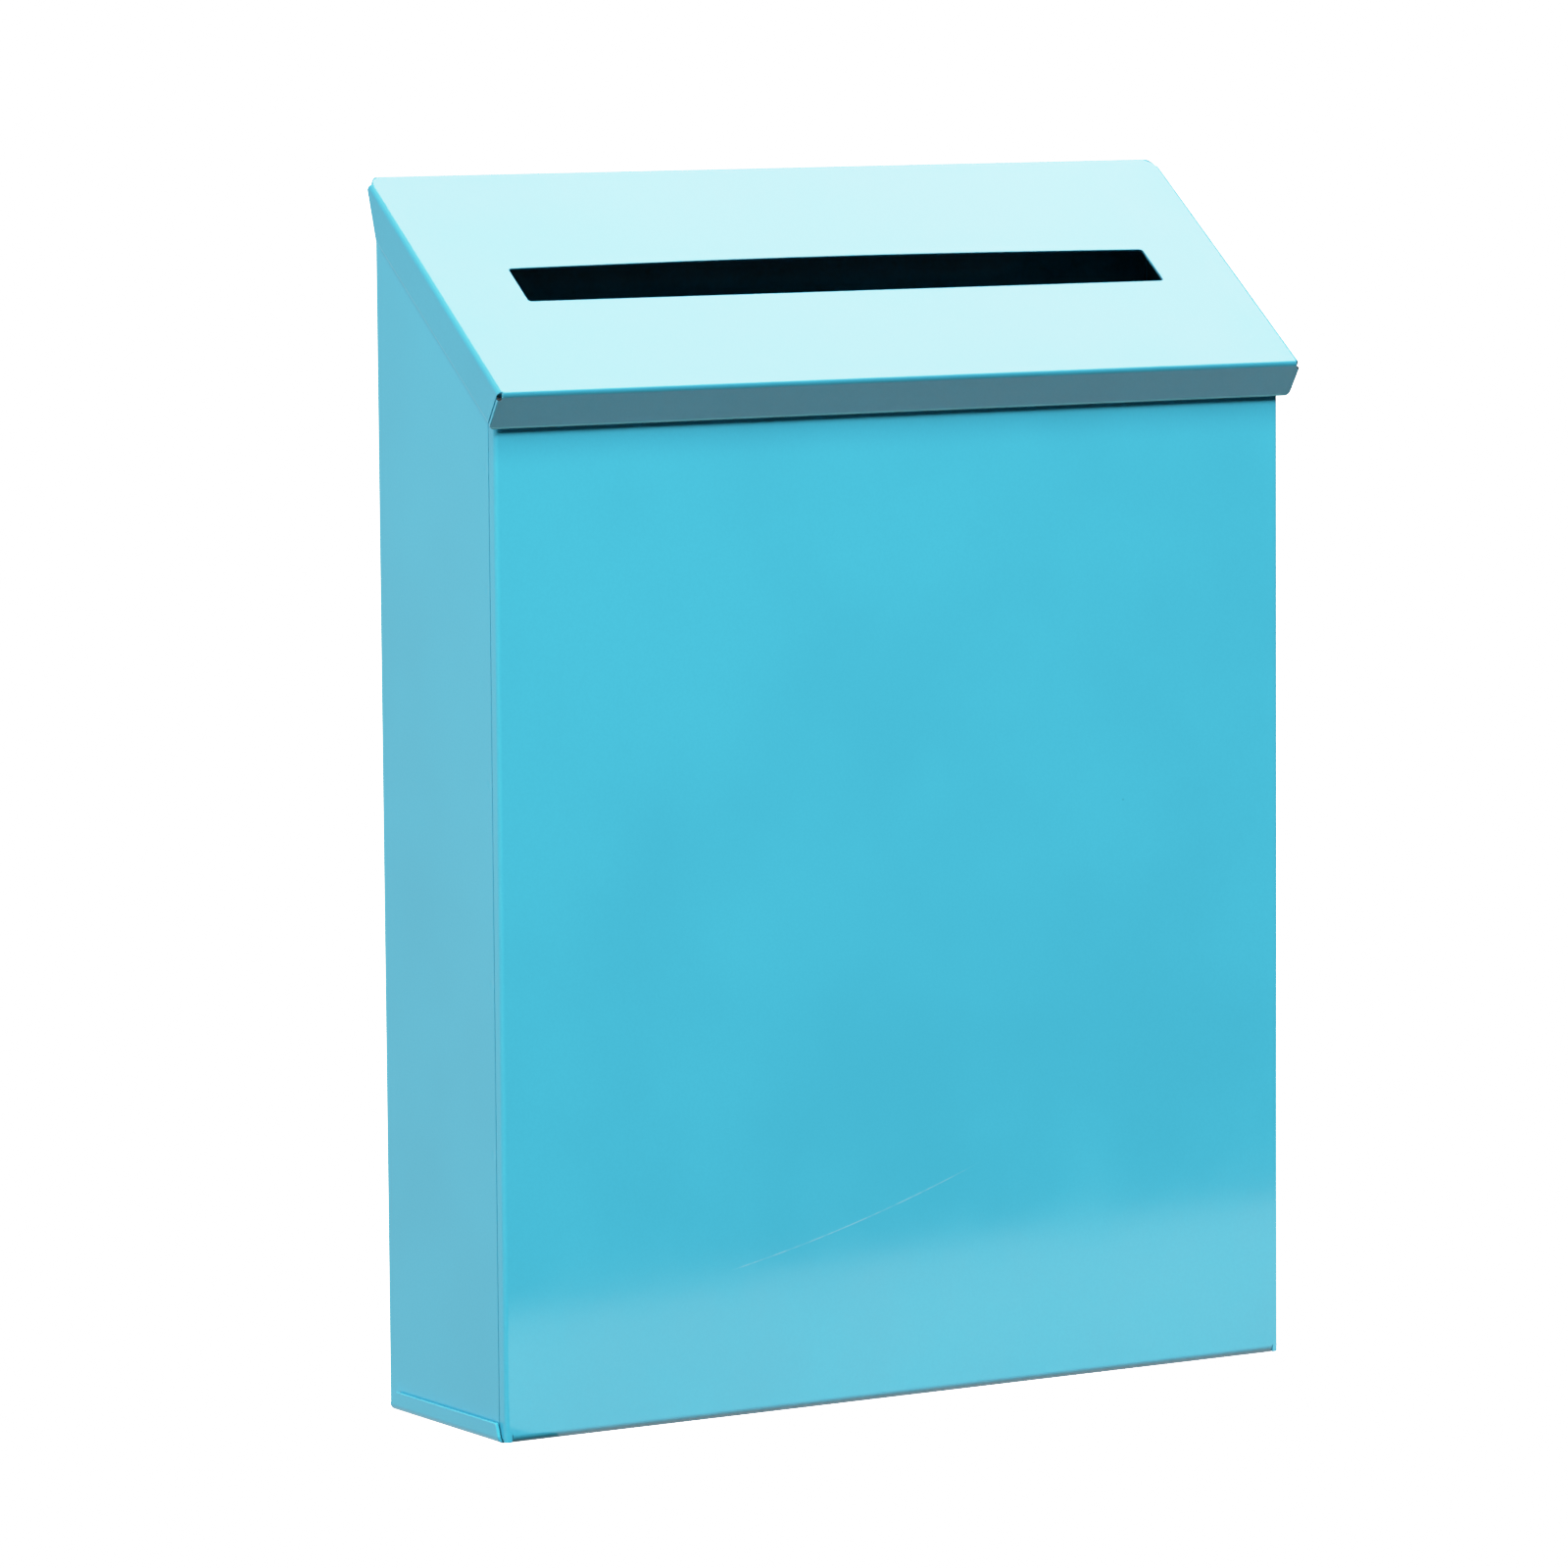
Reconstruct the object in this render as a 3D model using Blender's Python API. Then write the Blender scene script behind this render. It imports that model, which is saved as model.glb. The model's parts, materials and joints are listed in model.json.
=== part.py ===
"""Wall-hung drop box of painted sheet steel with a letter slot in its sloping, hinged lid.

Units are metres and +Z is up. The front faces -Y, and the plane y = 0 of the part's own frame is the
rear edge of the body. An empty carries that frame, so that the world origin lies on the floor under
the middle of the whole box.
"""

import math

import bmesh
import bpy
from mathutils import Vector

MM = 0.001

# Sheet metal
SHEET = 1.0 * MM  # thickness of the body's and the lid's sheet
GAP = 0.3 * MM  # clearance between pieces that lie against each other
INSIDE_BEND = 1.0 * MM  # inner radius of an ordinary bend
FLOOR_BEND = 1.5 * MM  # inner radius of the bend between front and floor
JOGGLE_BEND = 0.3 * MM  # inner radius of the step that lets a side panel lie flush over a return
ARC_STEPS = 6  # facets of a quarter turn

# Body
BODY_WIDTH = 261.5 * MM  # over the side panels
BODY_DEPTH = 68.5 * MM  # front face to rear edge
FRONT_LIP = 8.0 * MM  # turned-in top edge of the front
RETURN_STRAIGHT = 0.3 * MM  # flat stretch of the front's return, from its bend to where it steps in
RETURN_WIDTH = 12.0 * MM  # its welding flange behind each side panel
SIDE_FLANGE = 14.0 * MM  # side panel's rear flange
FLOOR_TAB = 5.6 * MM  # height of the tabs turned up outside the side panels
FLOOR_REAR_FLANGE = 10.0 * MM
TAB_REAR_SETBACK = 4.4 * MM
TAB_FRONT_SETBACK = 3.0 * MM  # at the floor
TAB_SLANT = 3.0 * MM  # how much further the tab's upper corner lies back
TAB_BEND_CLEARANCE = 0.01 * MM  # least height of a side panel's foot above the tab's bend

# Lid
LID_SLOPE = math.radians(37.3)
LID_PEAK = 350.5 * MM  # height of the lid's top face where it crosses y = 0
LID_SIDE_CLEARANCE = 1.85 * MM  # between the side panels and the lid's side flanges
LID_OVERHANG = 7.5 * MM  # in front of the front panel
LID_REAR_SETBACK = 0.6 * MM  # along the slope
LID_SIDE_FLANGE = 10.5 * MM
LID_SIDE_FLANGE_SLANT = 12.4 * MM  # how far its rear end runs forward
LID_FRONT_FLANGE = 12.4 * MM
LID_FRONT_LEAN = math.radians(33.0)  # front flange, from the vertical
LID_FRONT_CORNER = 2.6 * MM  # radius of the front flange's lower corners
LID_NOTCH = 0.5 * MM  # below the bends, over which the flanges widen to close the corner
LID_SEAM = 0.5 * MM  # between a side flange's end and the front flange
LID_REAR_CORNER = 3.2 * MM  # radius of the plate's rear corners
SLOT_WIDTH = 213.0 * MM
SLOT_START = 42.6 * MM  # rear edge of the slot, along the slope from y = 0
SLOT_HEIGHT = 14.3 * MM
SLOT_ARCH = 1.2 * MM  # bow of the slot's rear edge
SLOT_CORNER = 1.0 * MM

# Two butt hinges
HINGE_INSET = 50.75 * MM  # from the body's side to the hinge's middle
HINGE_WIDTH = 40.0 * MM
LEAF = 0.8 * MM
LEAF_REACH = 17.0 * MM
KNUCKLE_RADIUS = 1.9 * MM
KNUCKLE_TURN = math.radians(285.0)
PIN_PROUD = 0.6 * MM  # past each end of the leaves
FASTENER_SPACING = 24.0 * MM
FASTENER_REACH = 11.0 * MM  # from the hinge's axis

# Fasteners
RIVET_RADIUS = 1.6 * MM
RIVET_HEAD_RADIUS = 3.2 * MM
RIVET_HEAD_HEIGHT = 1.0 * MM
RIVET_TAIL_RADIUS = 2.5 * MM
RIVET_TAIL_HEIGHT = 1.5 * MM
STUD_RADIUS = 1.5 * MM
STUD_PAST_NUT = 1.2 * MM
NUT_ACROSS_FLATS = 5.5 * MM
NUT_HEIGHT = 2.4 * MM

# Back panel
BOSS_STANDOFF = 5.0 * MM  # pressed wall bosses, behind the body's rear edge
BOSS_BASE_RADIUS = 17.0 * MM
BOSS_TOP_RADIUS = 11.0 * MM
BOSS_INSET = 40.75 * MM  # from the body's side to the boss's middle
BOSS_BELOW_HINGE = 62.16 * MM
LOWER_BOSS_HEIGHT = 45.0 * MM
KEYHOLE_HEAD_RADIUS = 4.5 * MM
KEYHOLE_SLOT_RADIUS = 2.3 * MM
KEYHOLE_RISE = 8.0 * MM
KEYHOLE_DROP = 3.5 * MM  # head opening below the boss's centre

X = Vector((1, 0, 0))
Y = Vector((0, 1, 0))
Z = Vector((0, 0, 1))

HALF_BODY = BODY_WIDTH / 2
HALF_LID = HALF_BODY + LID_SIDE_CLEARANCE + SHEET
OUTER_BEND = INSIDE_BEND + SHEET
FRONT_Y = -BODY_DEPTH
JOGGLE_RADII = 2 * JOGGLE_BEND + SHEET
JOGGLE_TURN = math.acos(1 - (SHEET + GAP) / JOGGLE_RADII)
SIDE_FRONT_Y = FRONT_Y + OUTER_BEND + RETURN_STRAIGHT + JOGGLE_RADII * math.sin(JOGGLE_TURN)
DOWN_SLOPE = Vector((0, -math.cos(LID_SLOPE), -math.sin(LID_SLOPE)))
LID_NORMAL = Vector((0, -math.sin(LID_SLOPE), math.cos(LID_SLOPE)))


def lid_point(x, along, above=0.0):
    """A point by its place on the lid: across, down the slope from y = 0, and above the top face."""
    return Vector((x, 0, LID_PEAK)) + DOWN_SLOPE * along + LID_NORMAL * above


def height_under_lid(y, below=0.0):
    """Height of the plane that lies `below` the lid's underside, at this y."""
    return LID_PEAK + y * math.tan(LID_SLOPE) - (SHEET + below) / math.cos(LID_SLOPE)


BACK_PANEL_Y = -(SHEET + GAP)  # rear face of the back panel, in front of the side flanges
HINGE_Y = BACK_PANEL_Y + GAP + KNUCKLE_RADIUS
HINGE_BELOW = SHEET + GAP + KNUCKLE_RADIUS  # below the lid's top face
HINGE_ALONG = (HINGE_BELOW * math.sin(LID_SLOPE) - HINGE_Y) / math.cos(LID_SLOPE)
HINGE_AXIS = lid_point(0, HINGE_ALONG, -HINGE_BELOW)
FRONT_TOP = height_under_lid(FRONT_Y, 2 * GAP)
BACK_TOP = HINGE_AXIS.z - KNUCKLE_RADIUS
PIN_RADIUS = KNUCKLE_RADIUS - LEAF - GAP
UPPER_BOSS_HEIGHT = HINGE_AXIS.z - BOSS_BELOW_HINGE
BOSS_X = HALF_BODY - BOSS_INSET
HINGE_X = HALF_BODY - HINGE_INSET
LID_FRONT_Y = FRONT_Y - LID_OVERHANG
WORLD_SHIFT = Vector((0, -(LID_FRONT_Y + BOSS_STANDOFF) / 2, 0))


def arc(centre, radius, first, last, steps):
    """Points of an arc in a plane, as pairs, from angle first to angle last."""
    turns = [first + (last - first) * i / steps for i in range(steps + 1)]
    return [(centre[0] + radius * math.cos(t), centre[1] + radius * math.sin(t)) for t in turns]


def circle(centre, radius, steps=24):
    return arc(centre, radius, 0, 2 * math.pi, steps)[:-1]


def painted(name, colour, roughness, metallic):
    material = bpy.data.materials.new(name)
    material.use_nodes = True
    shader = material.node_tree.nodes["Principled BSDF"]
    shader.inputs["Base Color"].default_value = (*colour, 1)
    shader.inputs["Roughness"].default_value = roughness
    shader.inputs["Metallic"].default_value = metallic
    return material


def add_object(name, mesh_data, material, parent):
    """Puts a mesh given in the part's frame under its empty, and shades its round faces smooth."""
    mesh = bpy.data.meshes.new(name)
    mesh_data.to_mesh(mesh)
    mesh_data.free()
    mesh.materials.append(material)
    mesh.shade_smooth()
    mesh.set_sharp_from_angle(angle=math.radians(35))
    piece = bpy.data.objects.new(name, mesh)
    bpy.context.scene.collection.objects.link(piece)
    piece.parent = parent
    if parent.parent:
        piece.location = -parent.location
    return piece


class Sheet:
    """A bent sheet, drawn as the surface of its outer face, which finish() makes thick."""

    def __init__(self, thickness=SHEET):
        self.thickness = thickness
        self.mesh = bmesh.new()
        self.vertices = {}
        self.outward = None

    def vertex(self, place):
        """The vertex at this place, made only once, so that panels and bends share their edges."""
        key = tuple(round(c / MM, 4) for c in place)
        if key not in self.vertices:
            self.vertices[key] = self.mesh.verts.new(place)
        return self.vertices[key]

    def panel(self, outline, outward, holes=()):
        """A flat stretch of sheet, whose outer face looks outward."""
        loops = [[self.vertex(p) for p in loop] for loop in (outline, *holes)]
        if holes:
            edges = [
                self.mesh.edges.get(pair) or self.mesh.edges.new(pair)
                for loop in loops
                for pair in zip(loop, loop[1:] + loop[:1])
            ]
            made = bmesh.ops.triangle_fill(self.mesh, edges=edges, use_beauty=True)["geom"]
            face = next(part for part in made if isinstance(part, bmesh.types.BMFace))
        else:
            face = self.mesh.faces.new(loops[0])
        if self.outward is None:
            self.outward = (face, outward)

    def fold(self, start, end, out, inward, steps):
        """Runs the sheet on from the edge start-end.

        out points away from the panel in its plane, and inward to the sheet's inner side. A step is
        ("bend", inner radius, angle), which turns inward if its angle is positive, or
        ("flat", length, start inset, end inset).
        """
        row = [Vector(start), Vector(end)]
        lengthwise = (row[1] - row[0]).normalized()
        for kind, size, *rest in steps:
            if kind == "flat":
                insets = rest or (0, 0)
                moved = [row[0] + lengthwise * insets[0], row[1] - lengthwise * insets[1]]
                row = self.add_row(row, [p + out * size for p in moved])
                continue
            angle = rest[0]
            radius = size + self.thickness if angle > 0 else size
            turn_side = inward if angle > 0 else -inward
            count = max(1, round(ARC_STEPS * abs(angle) / (math.pi / 2)))
            first = row
            for i in range(1, count + 1):
                turned = abs(angle) * i / count
                shift = out * radius * math.sin(turned) + turn_side * radius * (1 - math.cos(turned))
                row = self.add_row(row, [p + shift for p in first])
            ahead, aside = out.copy(), inward.copy()
            out = ahead * math.cos(angle) + aside * math.sin(angle)
            inward = aside * math.cos(angle) - ahead * math.sin(angle)

    def add_row(self, row, next_row):
        corners = [row[0], row[1], next_row[1], next_row[0]]
        self.mesh.faces.new([self.vertex(p) for p in corners])
        return next_row

    def ring(self, inner, outer):
        """Joins two outlines that have the same number of points."""
        count = len(inner)
        for i in range(count):
            j = (i + 1) % count
            corners = [inner[i], inner[j], outer[j], outer[i]]
            self.mesh.faces.new([self.vertex(p) for p in corners])

    def finish(self, name, material, parent):
        bmesh.ops.recalc_face_normals(self.mesh, faces=self.mesh.faces[:])
        face, outward = self.outward
        if face.normal.dot(outward) < 0:
            bmesh.ops.reverse_faces(self.mesh, faces=self.mesh.faces[:])
        piece = add_object(name, self.mesh, material, parent)
        solidify = piece.modifiers.new("thickness", "SOLIDIFY")
        solidify.thickness = self.thickness
        solidify.offset = -1
        solidify.use_even_offset = True
        return piece


def turned(name, profile, base, axis, material, parent, sides=24):
    """A solid of revolution: profile holds (radius, height along axis), from one end to the other."""
    across = axis.orthogonal().normalized()
    beside = axis.cross(across)
    mesh = bmesh.new()
    rings = []
    for radius, height in profile:
        turns = [2 * math.pi * i / sides for i in range(sides)]
        spokes = [across * math.cos(t) + beside * math.sin(t) for t in turns]
        rings.append([mesh.verts.new(base + axis * height + spoke * radius) for spoke in spokes])
    for low, high in zip(rings, rings[1:]):
        for i in range(sides):
            j = (i + 1) % sides
            mesh.faces.new((low[i], low[j], high[j], high[i]))
    mesh.faces.new(rings[0][::-1])
    mesh.faces.new(rings[-1])
    bmesh.ops.recalc_face_normals(mesh, faces=mesh.faces[:])
    return add_object(name, mesh, material, parent)


def make_front_and_floor(material, parent):
    """Front, floor and their flanges, bent from one sheet."""
    sheet = Sheet()
    floor_outer_bend = FLOOR_BEND + SHEET
    tab_edge = HALF_BODY + GAP + SHEET - OUTER_BEND
    floor_front = FRONT_Y + floor_outer_bend
    floor_rear = BACK_PANEL_Y - SHEET - GAP - OUTER_BEND
    tab_front = FRONT_Y + TAB_FRONT_SETBACK
    rear_flange_end = HALF_BODY - SIDE_FLANGE / 2
    floor = [
        (-tab_edge, tab_front),
        (-tab_edge, -TAB_REAR_SETBACK),
        (-rear_flange_end, floor_rear),
        (rear_flange_end, floor_rear),
        (tab_edge, -TAB_REAR_SETBACK),
        (tab_edge, tab_front),
        (tab_edge, floor_front),
        (-tab_edge, floor_front),
    ]
    sheet.panel([Vector((x, y, 0)) for x, y in floor], -Z)
    right_angle = math.pi / 2
    bend = ("bend", INSIDE_BEND, right_angle)
    for side in (-1, 1):
        sheet.fold(
            Vector((side * tab_edge, -TAB_REAR_SETBACK, 0)),
            Vector((side * tab_edge, tab_front, 0)),
            side * X,
            Z,
            [bend, ("flat", FLOOR_TAB - OUTER_BEND, 0, TAB_SLANT)],
        )
    sheet.fold(
        Vector((-rear_flange_end, floor_rear, 0)),
        Vector((rear_flange_end, floor_rear, 0)),
        Y,
        Z,
        [bend, ("flat", FLOOR_REAR_FLANGE - OUTER_BEND)],
    )
    sheet.fold(
        Vector((-tab_edge, floor_front, 0)),
        Vector((tab_edge, floor_front, 0)),
        -Y,
        Z,
        [("bend", FLOOR_BEND, right_angle)],
    )
    return_edge = HALF_BODY - OUTER_BEND
    return_foot = floor_outer_bend + OUTER_BEND
    return_top = FRONT_TOP - OUTER_BEND
    lip_end = return_edge - 2 * OUTER_BEND
    front = [
        (-tab_edge, floor_outer_bend),
        (tab_edge, floor_outer_bend),
        (return_edge, return_foot),
        (return_edge, return_top - OUTER_BEND),
        (lip_end, return_top),
        (-lip_end, return_top),
        (-return_edge, return_top - OUTER_BEND),
        (-return_edge, return_foot),
    ]
    sheet.panel([Vector((x, FRONT_Y, z)) for x, z in front], -Y)
    sheet.fold(
        Vector((-lip_end, FRONT_Y, return_top)),
        Vector((lip_end, FRONT_Y, return_top)),
        Z,
        Y,
        [bend, ("flat", FRONT_LIP - OUTER_BEND)],
    )
    joggle = [("bend", JOGGLE_BEND, JOGGLE_TURN), ("bend", JOGGLE_BEND, -JOGGLE_TURN)]
    for side in (-1, 1):
        sheet.fold(
            Vector((side * return_edge, FRONT_Y, return_foot)),
            Vector((side * return_edge, FRONT_Y, return_top - OUTER_BEND)),
            side * X,
            Y,
            [bend, ("flat", RETURN_STRAIGHT), *joggle, ("flat", RETURN_WIDTH)],
        )
    return sheet.finish("front_and_floor_panel", material, parent)


def make_side_panel(side, name, material, parent):
    sheet = Sheet()
    rear = -OUTER_BEND
    bend_end = OUTER_BEND - math.sqrt(2 * INSIDE_BEND * GAP - GAP * GAP)  # where the tab's bend clears it
    foot = max(SHEET + GAP, bend_end + TAB_BEND_CLEARANCE)
    corners = [
        (SIDE_FRONT_Y, foot),
        (rear, foot),
        (rear, height_under_lid(rear, GAP)),
        (SIDE_FRONT_Y, height_under_lid(SIDE_FRONT_Y, GAP)),
    ]
    outline = [Vector((side * HALF_BODY, y, z)) for y, z in corners]
    sheet.panel(outline, side * X)
    flange = ("flat", SIDE_FLANGE - OUTER_BEND)
    sheet.fold(outline[1], outline[2], Y, -side * X, [("bend", INSIDE_BEND, math.pi / 2), flange])
    return sheet.finish(name, material, parent)


def keyhole():
    """A round opening for a screw's head, with a narrow slot above it."""
    half_mouth = math.asin(KEYHOLE_SLOT_RADIUS / KEYHOLE_HEAD_RADIUS)
    up = math.pi / 2
    head = arc((0, -KEYHOLE_DROP), KEYHOLE_HEAD_RADIUS, up + half_mouth, up + 2 * math.pi - half_mouth, 18)
    slot = arc((0, KEYHOLE_RISE - KEYHOLE_DROP), KEYHOLE_SLOT_RADIUS, 0, math.pi, 8)
    return head + slot


def hinge_centres():
    return [("left", -HINGE_X), ("right", HINGE_X)]


def fastener_places(centre):
    return [("a", centre - FASTENER_SPACING / 2), ("b", centre + FASTENER_SPACING / 2)]


def make_back_panel(material, parent):
    """Flat back with four pressed bosses that keep the hinged edge off the wall."""
    sheet = Sheet()
    half = HALF_BODY - OUTER_BEND
    foot = GAP
    boss_y = BOSS_STANDOFF

    def at(pairs, y=BACK_PANEL_Y):
        return [Vector((x, y, z)) for x, z in pairs]

    holes = []
    for boss_z, opening in (
        (UPPER_BOSS_HEIGHT, keyhole()),
        (LOWER_BOSS_HEIGHT, circle((0, 0), KEYHOLE_SLOT_RADIUS)),
    ):
        for boss_x in (-BOSS_X, BOSS_X):
            base = at(circle((boss_x, boss_z), BOSS_BASE_RADIUS))
            top = at(circle((boss_x, boss_z), BOSS_TOP_RADIUS), boss_y)
            sheet.ring(base, top)
            hole = at([(boss_x + x, boss_z + z) for x, z in opening], boss_y)
            sheet.panel(top, Y, [hole])
            holes.append(base)
    rivet_z = HINGE_AXIS.z - FASTENER_REACH
    for _, centre in hinge_centres():
        for _, x in fastener_places(centre):
            holes.append(at(circle((x, rivet_z), RIVET_RADIUS + GAP, 12)))
    outline = at([(-half, foot), (half, foot), (half, BACK_TOP), (-half, BACK_TOP)])
    sheet.panel(outline, Y, holes)
    return sheet.finish("back_panel", material, parent)


def slot_outline():
    """The slot's outline on the lid, as (across, along), with a bowed rear edge."""
    half = SLOT_WIDTH / 2
    corner = SLOT_CORNER
    near, far = SLOT_START, SLOT_START + SLOT_HEIGHT
    count = 12
    bowed = [i / count for i in range(1, count)]
    rear_edge = [
        (-half + corner + (SLOT_WIDTH - 2 * corner) * t, near - SLOT_ARCH * math.sin(math.pi * t))
        for t in bowed
    ]
    quarter = math.pi / 2
    return [
        *arc((-half + corner, near + corner), corner, 2 * quarter, 3 * quarter, 3),
        *rear_edge,
        *arc((half - corner, near + corner), corner, 3 * quarter, 4 * quarter, 3),
        *arc((half - corner, far - corner), corner, 0, quarter, 3),
        *arc((-half + corner, far - corner), corner, quarter, 2 * quarter, 3),
    ]


def make_lid(material, parent):
    """Sloping plate with the slot, and a flange down each side and across the front."""
    sheet = Sheet()
    edge = HALF_LID - OUTER_BEND
    front_turn = math.pi / 2 + LID_FRONT_LEAN - LID_SLOPE
    tangent = OUTER_BEND * math.tan(front_turn / 2)
    lowered = OUTER_BEND * (1 - math.sin(LID_SLOPE))
    front = (BODY_DEPTH + LID_OVERHANG - lowered) / math.cos(LID_SLOPE)
    rear = LID_REAR_SETBACK + LID_REAR_CORNER
    corner = LID_REAR_CORNER
    half_turn = math.pi
    outline = [
        *arc((-edge + corner, rear), corner, half_turn, 1.5 * half_turn, ARC_STEPS),
        *arc((edge - corner, rear), corner, 1.5 * half_turn, 2 * half_turn, ARC_STEPS),
        (edge, front),
        (-edge, front),
    ]
    on_lid = [lid_point(x, along) for x, along in outline]
    sheet.panel(on_lid, LID_NORMAL, [[lid_point(x, along) for x, along in slot_outline()]])

    def seam_reach(depth):
        """How far past the plate's front edge a side flange's end comes, at this depth below the plate."""
        slanting = (depth - OUTER_BEND + INSIDE_BEND * math.cos(front_turn)) / math.tan(front_turn)
        return INSIDE_BEND * math.sin(front_turn) + slanting - LID_SEAM

    upper_reach = seam_reach(OUTER_BEND + LID_NOTCH)
    lower_reach = seam_reach(LID_SIDE_FLANGE)
    side_length = LID_SIDE_FLANGE - OUTER_BEND - LID_NOTCH
    for side in (-1, 1):
        sheet.fold(
            lid_point(side * edge, rear),
            lid_point(side * edge, front),
            side * X,
            -LID_NORMAL,
            [
                ("bend", INSIDE_BEND, math.pi / 2),
                ("flat", LID_NOTCH, 0, -upper_reach),
                ("flat", side_length, LID_SIDE_FLANGE_SLANT, upper_reach - lower_reach),
            ],
        )
    widening = ("flat", LID_NOTCH, -OUTER_BEND, -OUTER_BEND)
    straight = ("flat", LID_FRONT_FLANGE - tangent - LID_NOTCH - LID_FRONT_CORNER)
    corner_points = arc((0, 0), LID_FRONT_CORNER, 0, math.pi / 2, ARC_STEPS // 2)
    rounded = [
        ("flat", further[1] - nearer[1], nearer[0] - further[0], nearer[0] - further[0])
        for nearer, further in zip(corner_points, corner_points[1:])
    ]
    sheet.fold(
        lid_point(-edge, front),
        lid_point(edge, front),
        DOWN_SLOPE,
        -LID_NORMAL,
        [("bend", INSIDE_BEND, front_turn), widening, straight, *rounded],
    )
    return sheet.finish("lid", material, parent)


def make_leaf(name, centre, at, out, inward, outer_knuckles, material, parent):
    """A hinge leaf: at(x, reach) is a place on its outer face, reach being its distance from the axis.

    The body's leaf holds the two outer knuckles, and the lid's leaf the middle one.
    """
    sheet = Sheet(LEAF)
    half = HINGE_WIDTH / 2
    inner = HINGE_WIDTH / 6
    clear = KNUCKLE_RADIUS + 2 * GAP
    if outer_knuckles:
        knuckles = [(-half, -inner - GAP), (inner + GAP, half)]
        edge = [(-half, 0), (-inner - GAP, 0), (-inner - GAP, clear)]
        edge += [(inner + GAP, clear), (inner + GAP, 0), (half, 0)]
    else:
        knuckles = [(-inner, inner)]
        edge = [(-half, clear), (-inner, clear), (-inner, 0), (inner, 0), (inner, clear), (half, clear)]
    outline = [*edge, (half, LEAF_REACH), (-half, LEAF_REACH)]
    hole_radius = (RIVET_RADIUS if outer_knuckles else STUD_RADIUS) + GAP
    holes = [
        [at(x, reach) for x, reach in circle((hole_x, FASTENER_REACH), hole_radius, 12)]
        for _, hole_x in fastener_places(centre)
    ]
    sheet.panel([at(centre + x, reach) for x, reach in outline], -inward, holes)
    for low, high in knuckles:
        curl = [("bend", KNUCKLE_RADIUS - LEAF, KNUCKLE_TURN)]
        sheet.fold(at(centre + low, 0), at(centre + high, 0), out, inward, curl)
    return sheet.finish(name, material, parent)


def make_hinge(side_name, centre, steel, fixed, moving):
    leaf_y = HINGE_Y - KNUCKLE_RADIUS

    def on_body(x, reach):
        return Vector((x, leaf_y, HINGE_AXIS.z - reach))

    def on_lid(x, reach):
        return lid_point(x, HINGE_ALONG + reach, -SHEET - GAP)

    name = side_name + "_hinge_"
    make_leaf(name + "body_leaf", centre, on_body, Z, Y, True, steel, fixed)
    make_leaf(name + "lid_leaf", centre, on_lid, -DOWN_SLOPE, -LID_NORMAL, False, steel, moving)
    length = HINGE_WIDTH + 2 * PIN_PROUD
    chamfer = PIN_RADIUS / 4
    turned(
        name + "pin",
        [
            (PIN_RADIUS - chamfer, 0),
            (PIN_RADIUS, chamfer),
            (PIN_RADIUS, length - chamfer),
            (PIN_RADIUS - chamfer, length),
        ],
        HINGE_AXIS + X * (centre - length / 2),
        X,
        steel,
        fixed,
        16,
    )


def dome(radius, height, base):
    """Profile of a low dome on a plane, from its rim to its crown."""
    turns = [math.pi / 2 * i / 4 for i in range(4)]
    return [(radius * math.cos(t), base + height * math.sin(t)) for t in turns]


def make_rivets(side_name, centre, aluminium, fixed):
    """Blind rivets with their heads at the rear, through the body's leaf and the back panel."""
    head_seat = LEAF + GAP
    tail_seat = -(GAP + SHEET + GAP)
    tail_end = tail_seat - RIVET_TAIL_HEIGHT
    tail_neck = RIVET_TAIL_RADIUS / 3
    profile = [
        (RIVET_TAIL_RADIUS - tail_neck, tail_end),
        (RIVET_TAIL_RADIUS, tail_end + tail_neck),
        (RIVET_TAIL_RADIUS, tail_seat),
        (RIVET_RADIUS, tail_seat),
        (RIVET_RADIUS, head_seat),
        *dome(RIVET_HEAD_RADIUS, RIVET_HEAD_HEIGHT, head_seat),
    ]
    for letter, x in fastener_places(centre):
        base = Vector((x, BACK_PANEL_Y + GAP, HINGE_AXIS.z - FASTENER_REACH))
        turned(f"{side_name}_hinge_rivet_{letter}", profile, base, Y, aluminium, fixed, 16)


def make_studs_and_nuts(side_name, centre, steel, moving):
    """Weld studs under the lid plate, which hold the lid's leaf with a nut each."""
    leaf_top = SHEET + GAP
    nut_top = leaf_top + LEAF + GAP
    stud_end = nut_top + NUT_HEIGHT + STUD_PAST_NUT
    chamfer = STUD_RADIUS / 4
    profile = [
        (STUD_RADIUS, leaf_top),
        (STUD_RADIUS, stud_end - chamfer),
        (STUD_RADIUS - chamfer, stud_end),
    ]
    nut_corner = NUT_ACROSS_FLATS / math.sqrt(3)
    for letter, x in fastener_places(centre):
        along = HINGE_ALONG + FASTENER_REACH
        base = lid_point(x, along)
        turned(f"{side_name}_lid_stud_{letter}", profile, base, -LID_NORMAL, steel, moving, 12)
        nut = Sheet(NUT_HEIGHT)
        loops = [
            [lid_point(px, py, -nut_top) for px, py in circle((x, along), radius, sides)]
            for radius, sides in ((nut_corner, 6), (STUD_RADIUS + GAP, 12))
        ]
        nut.panel(loops[0], LID_NORMAL, [loops[1]])
        nut.finish(f"{side_name}_lid_nut_{letter}", steel, moving)


def empty(name, place, parent=None):
    helper = bpy.data.objects.new(name, None)
    bpy.context.scene.collection.objects.link(helper)
    helper.location = place
    helper.parent = parent
    return helper


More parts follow.
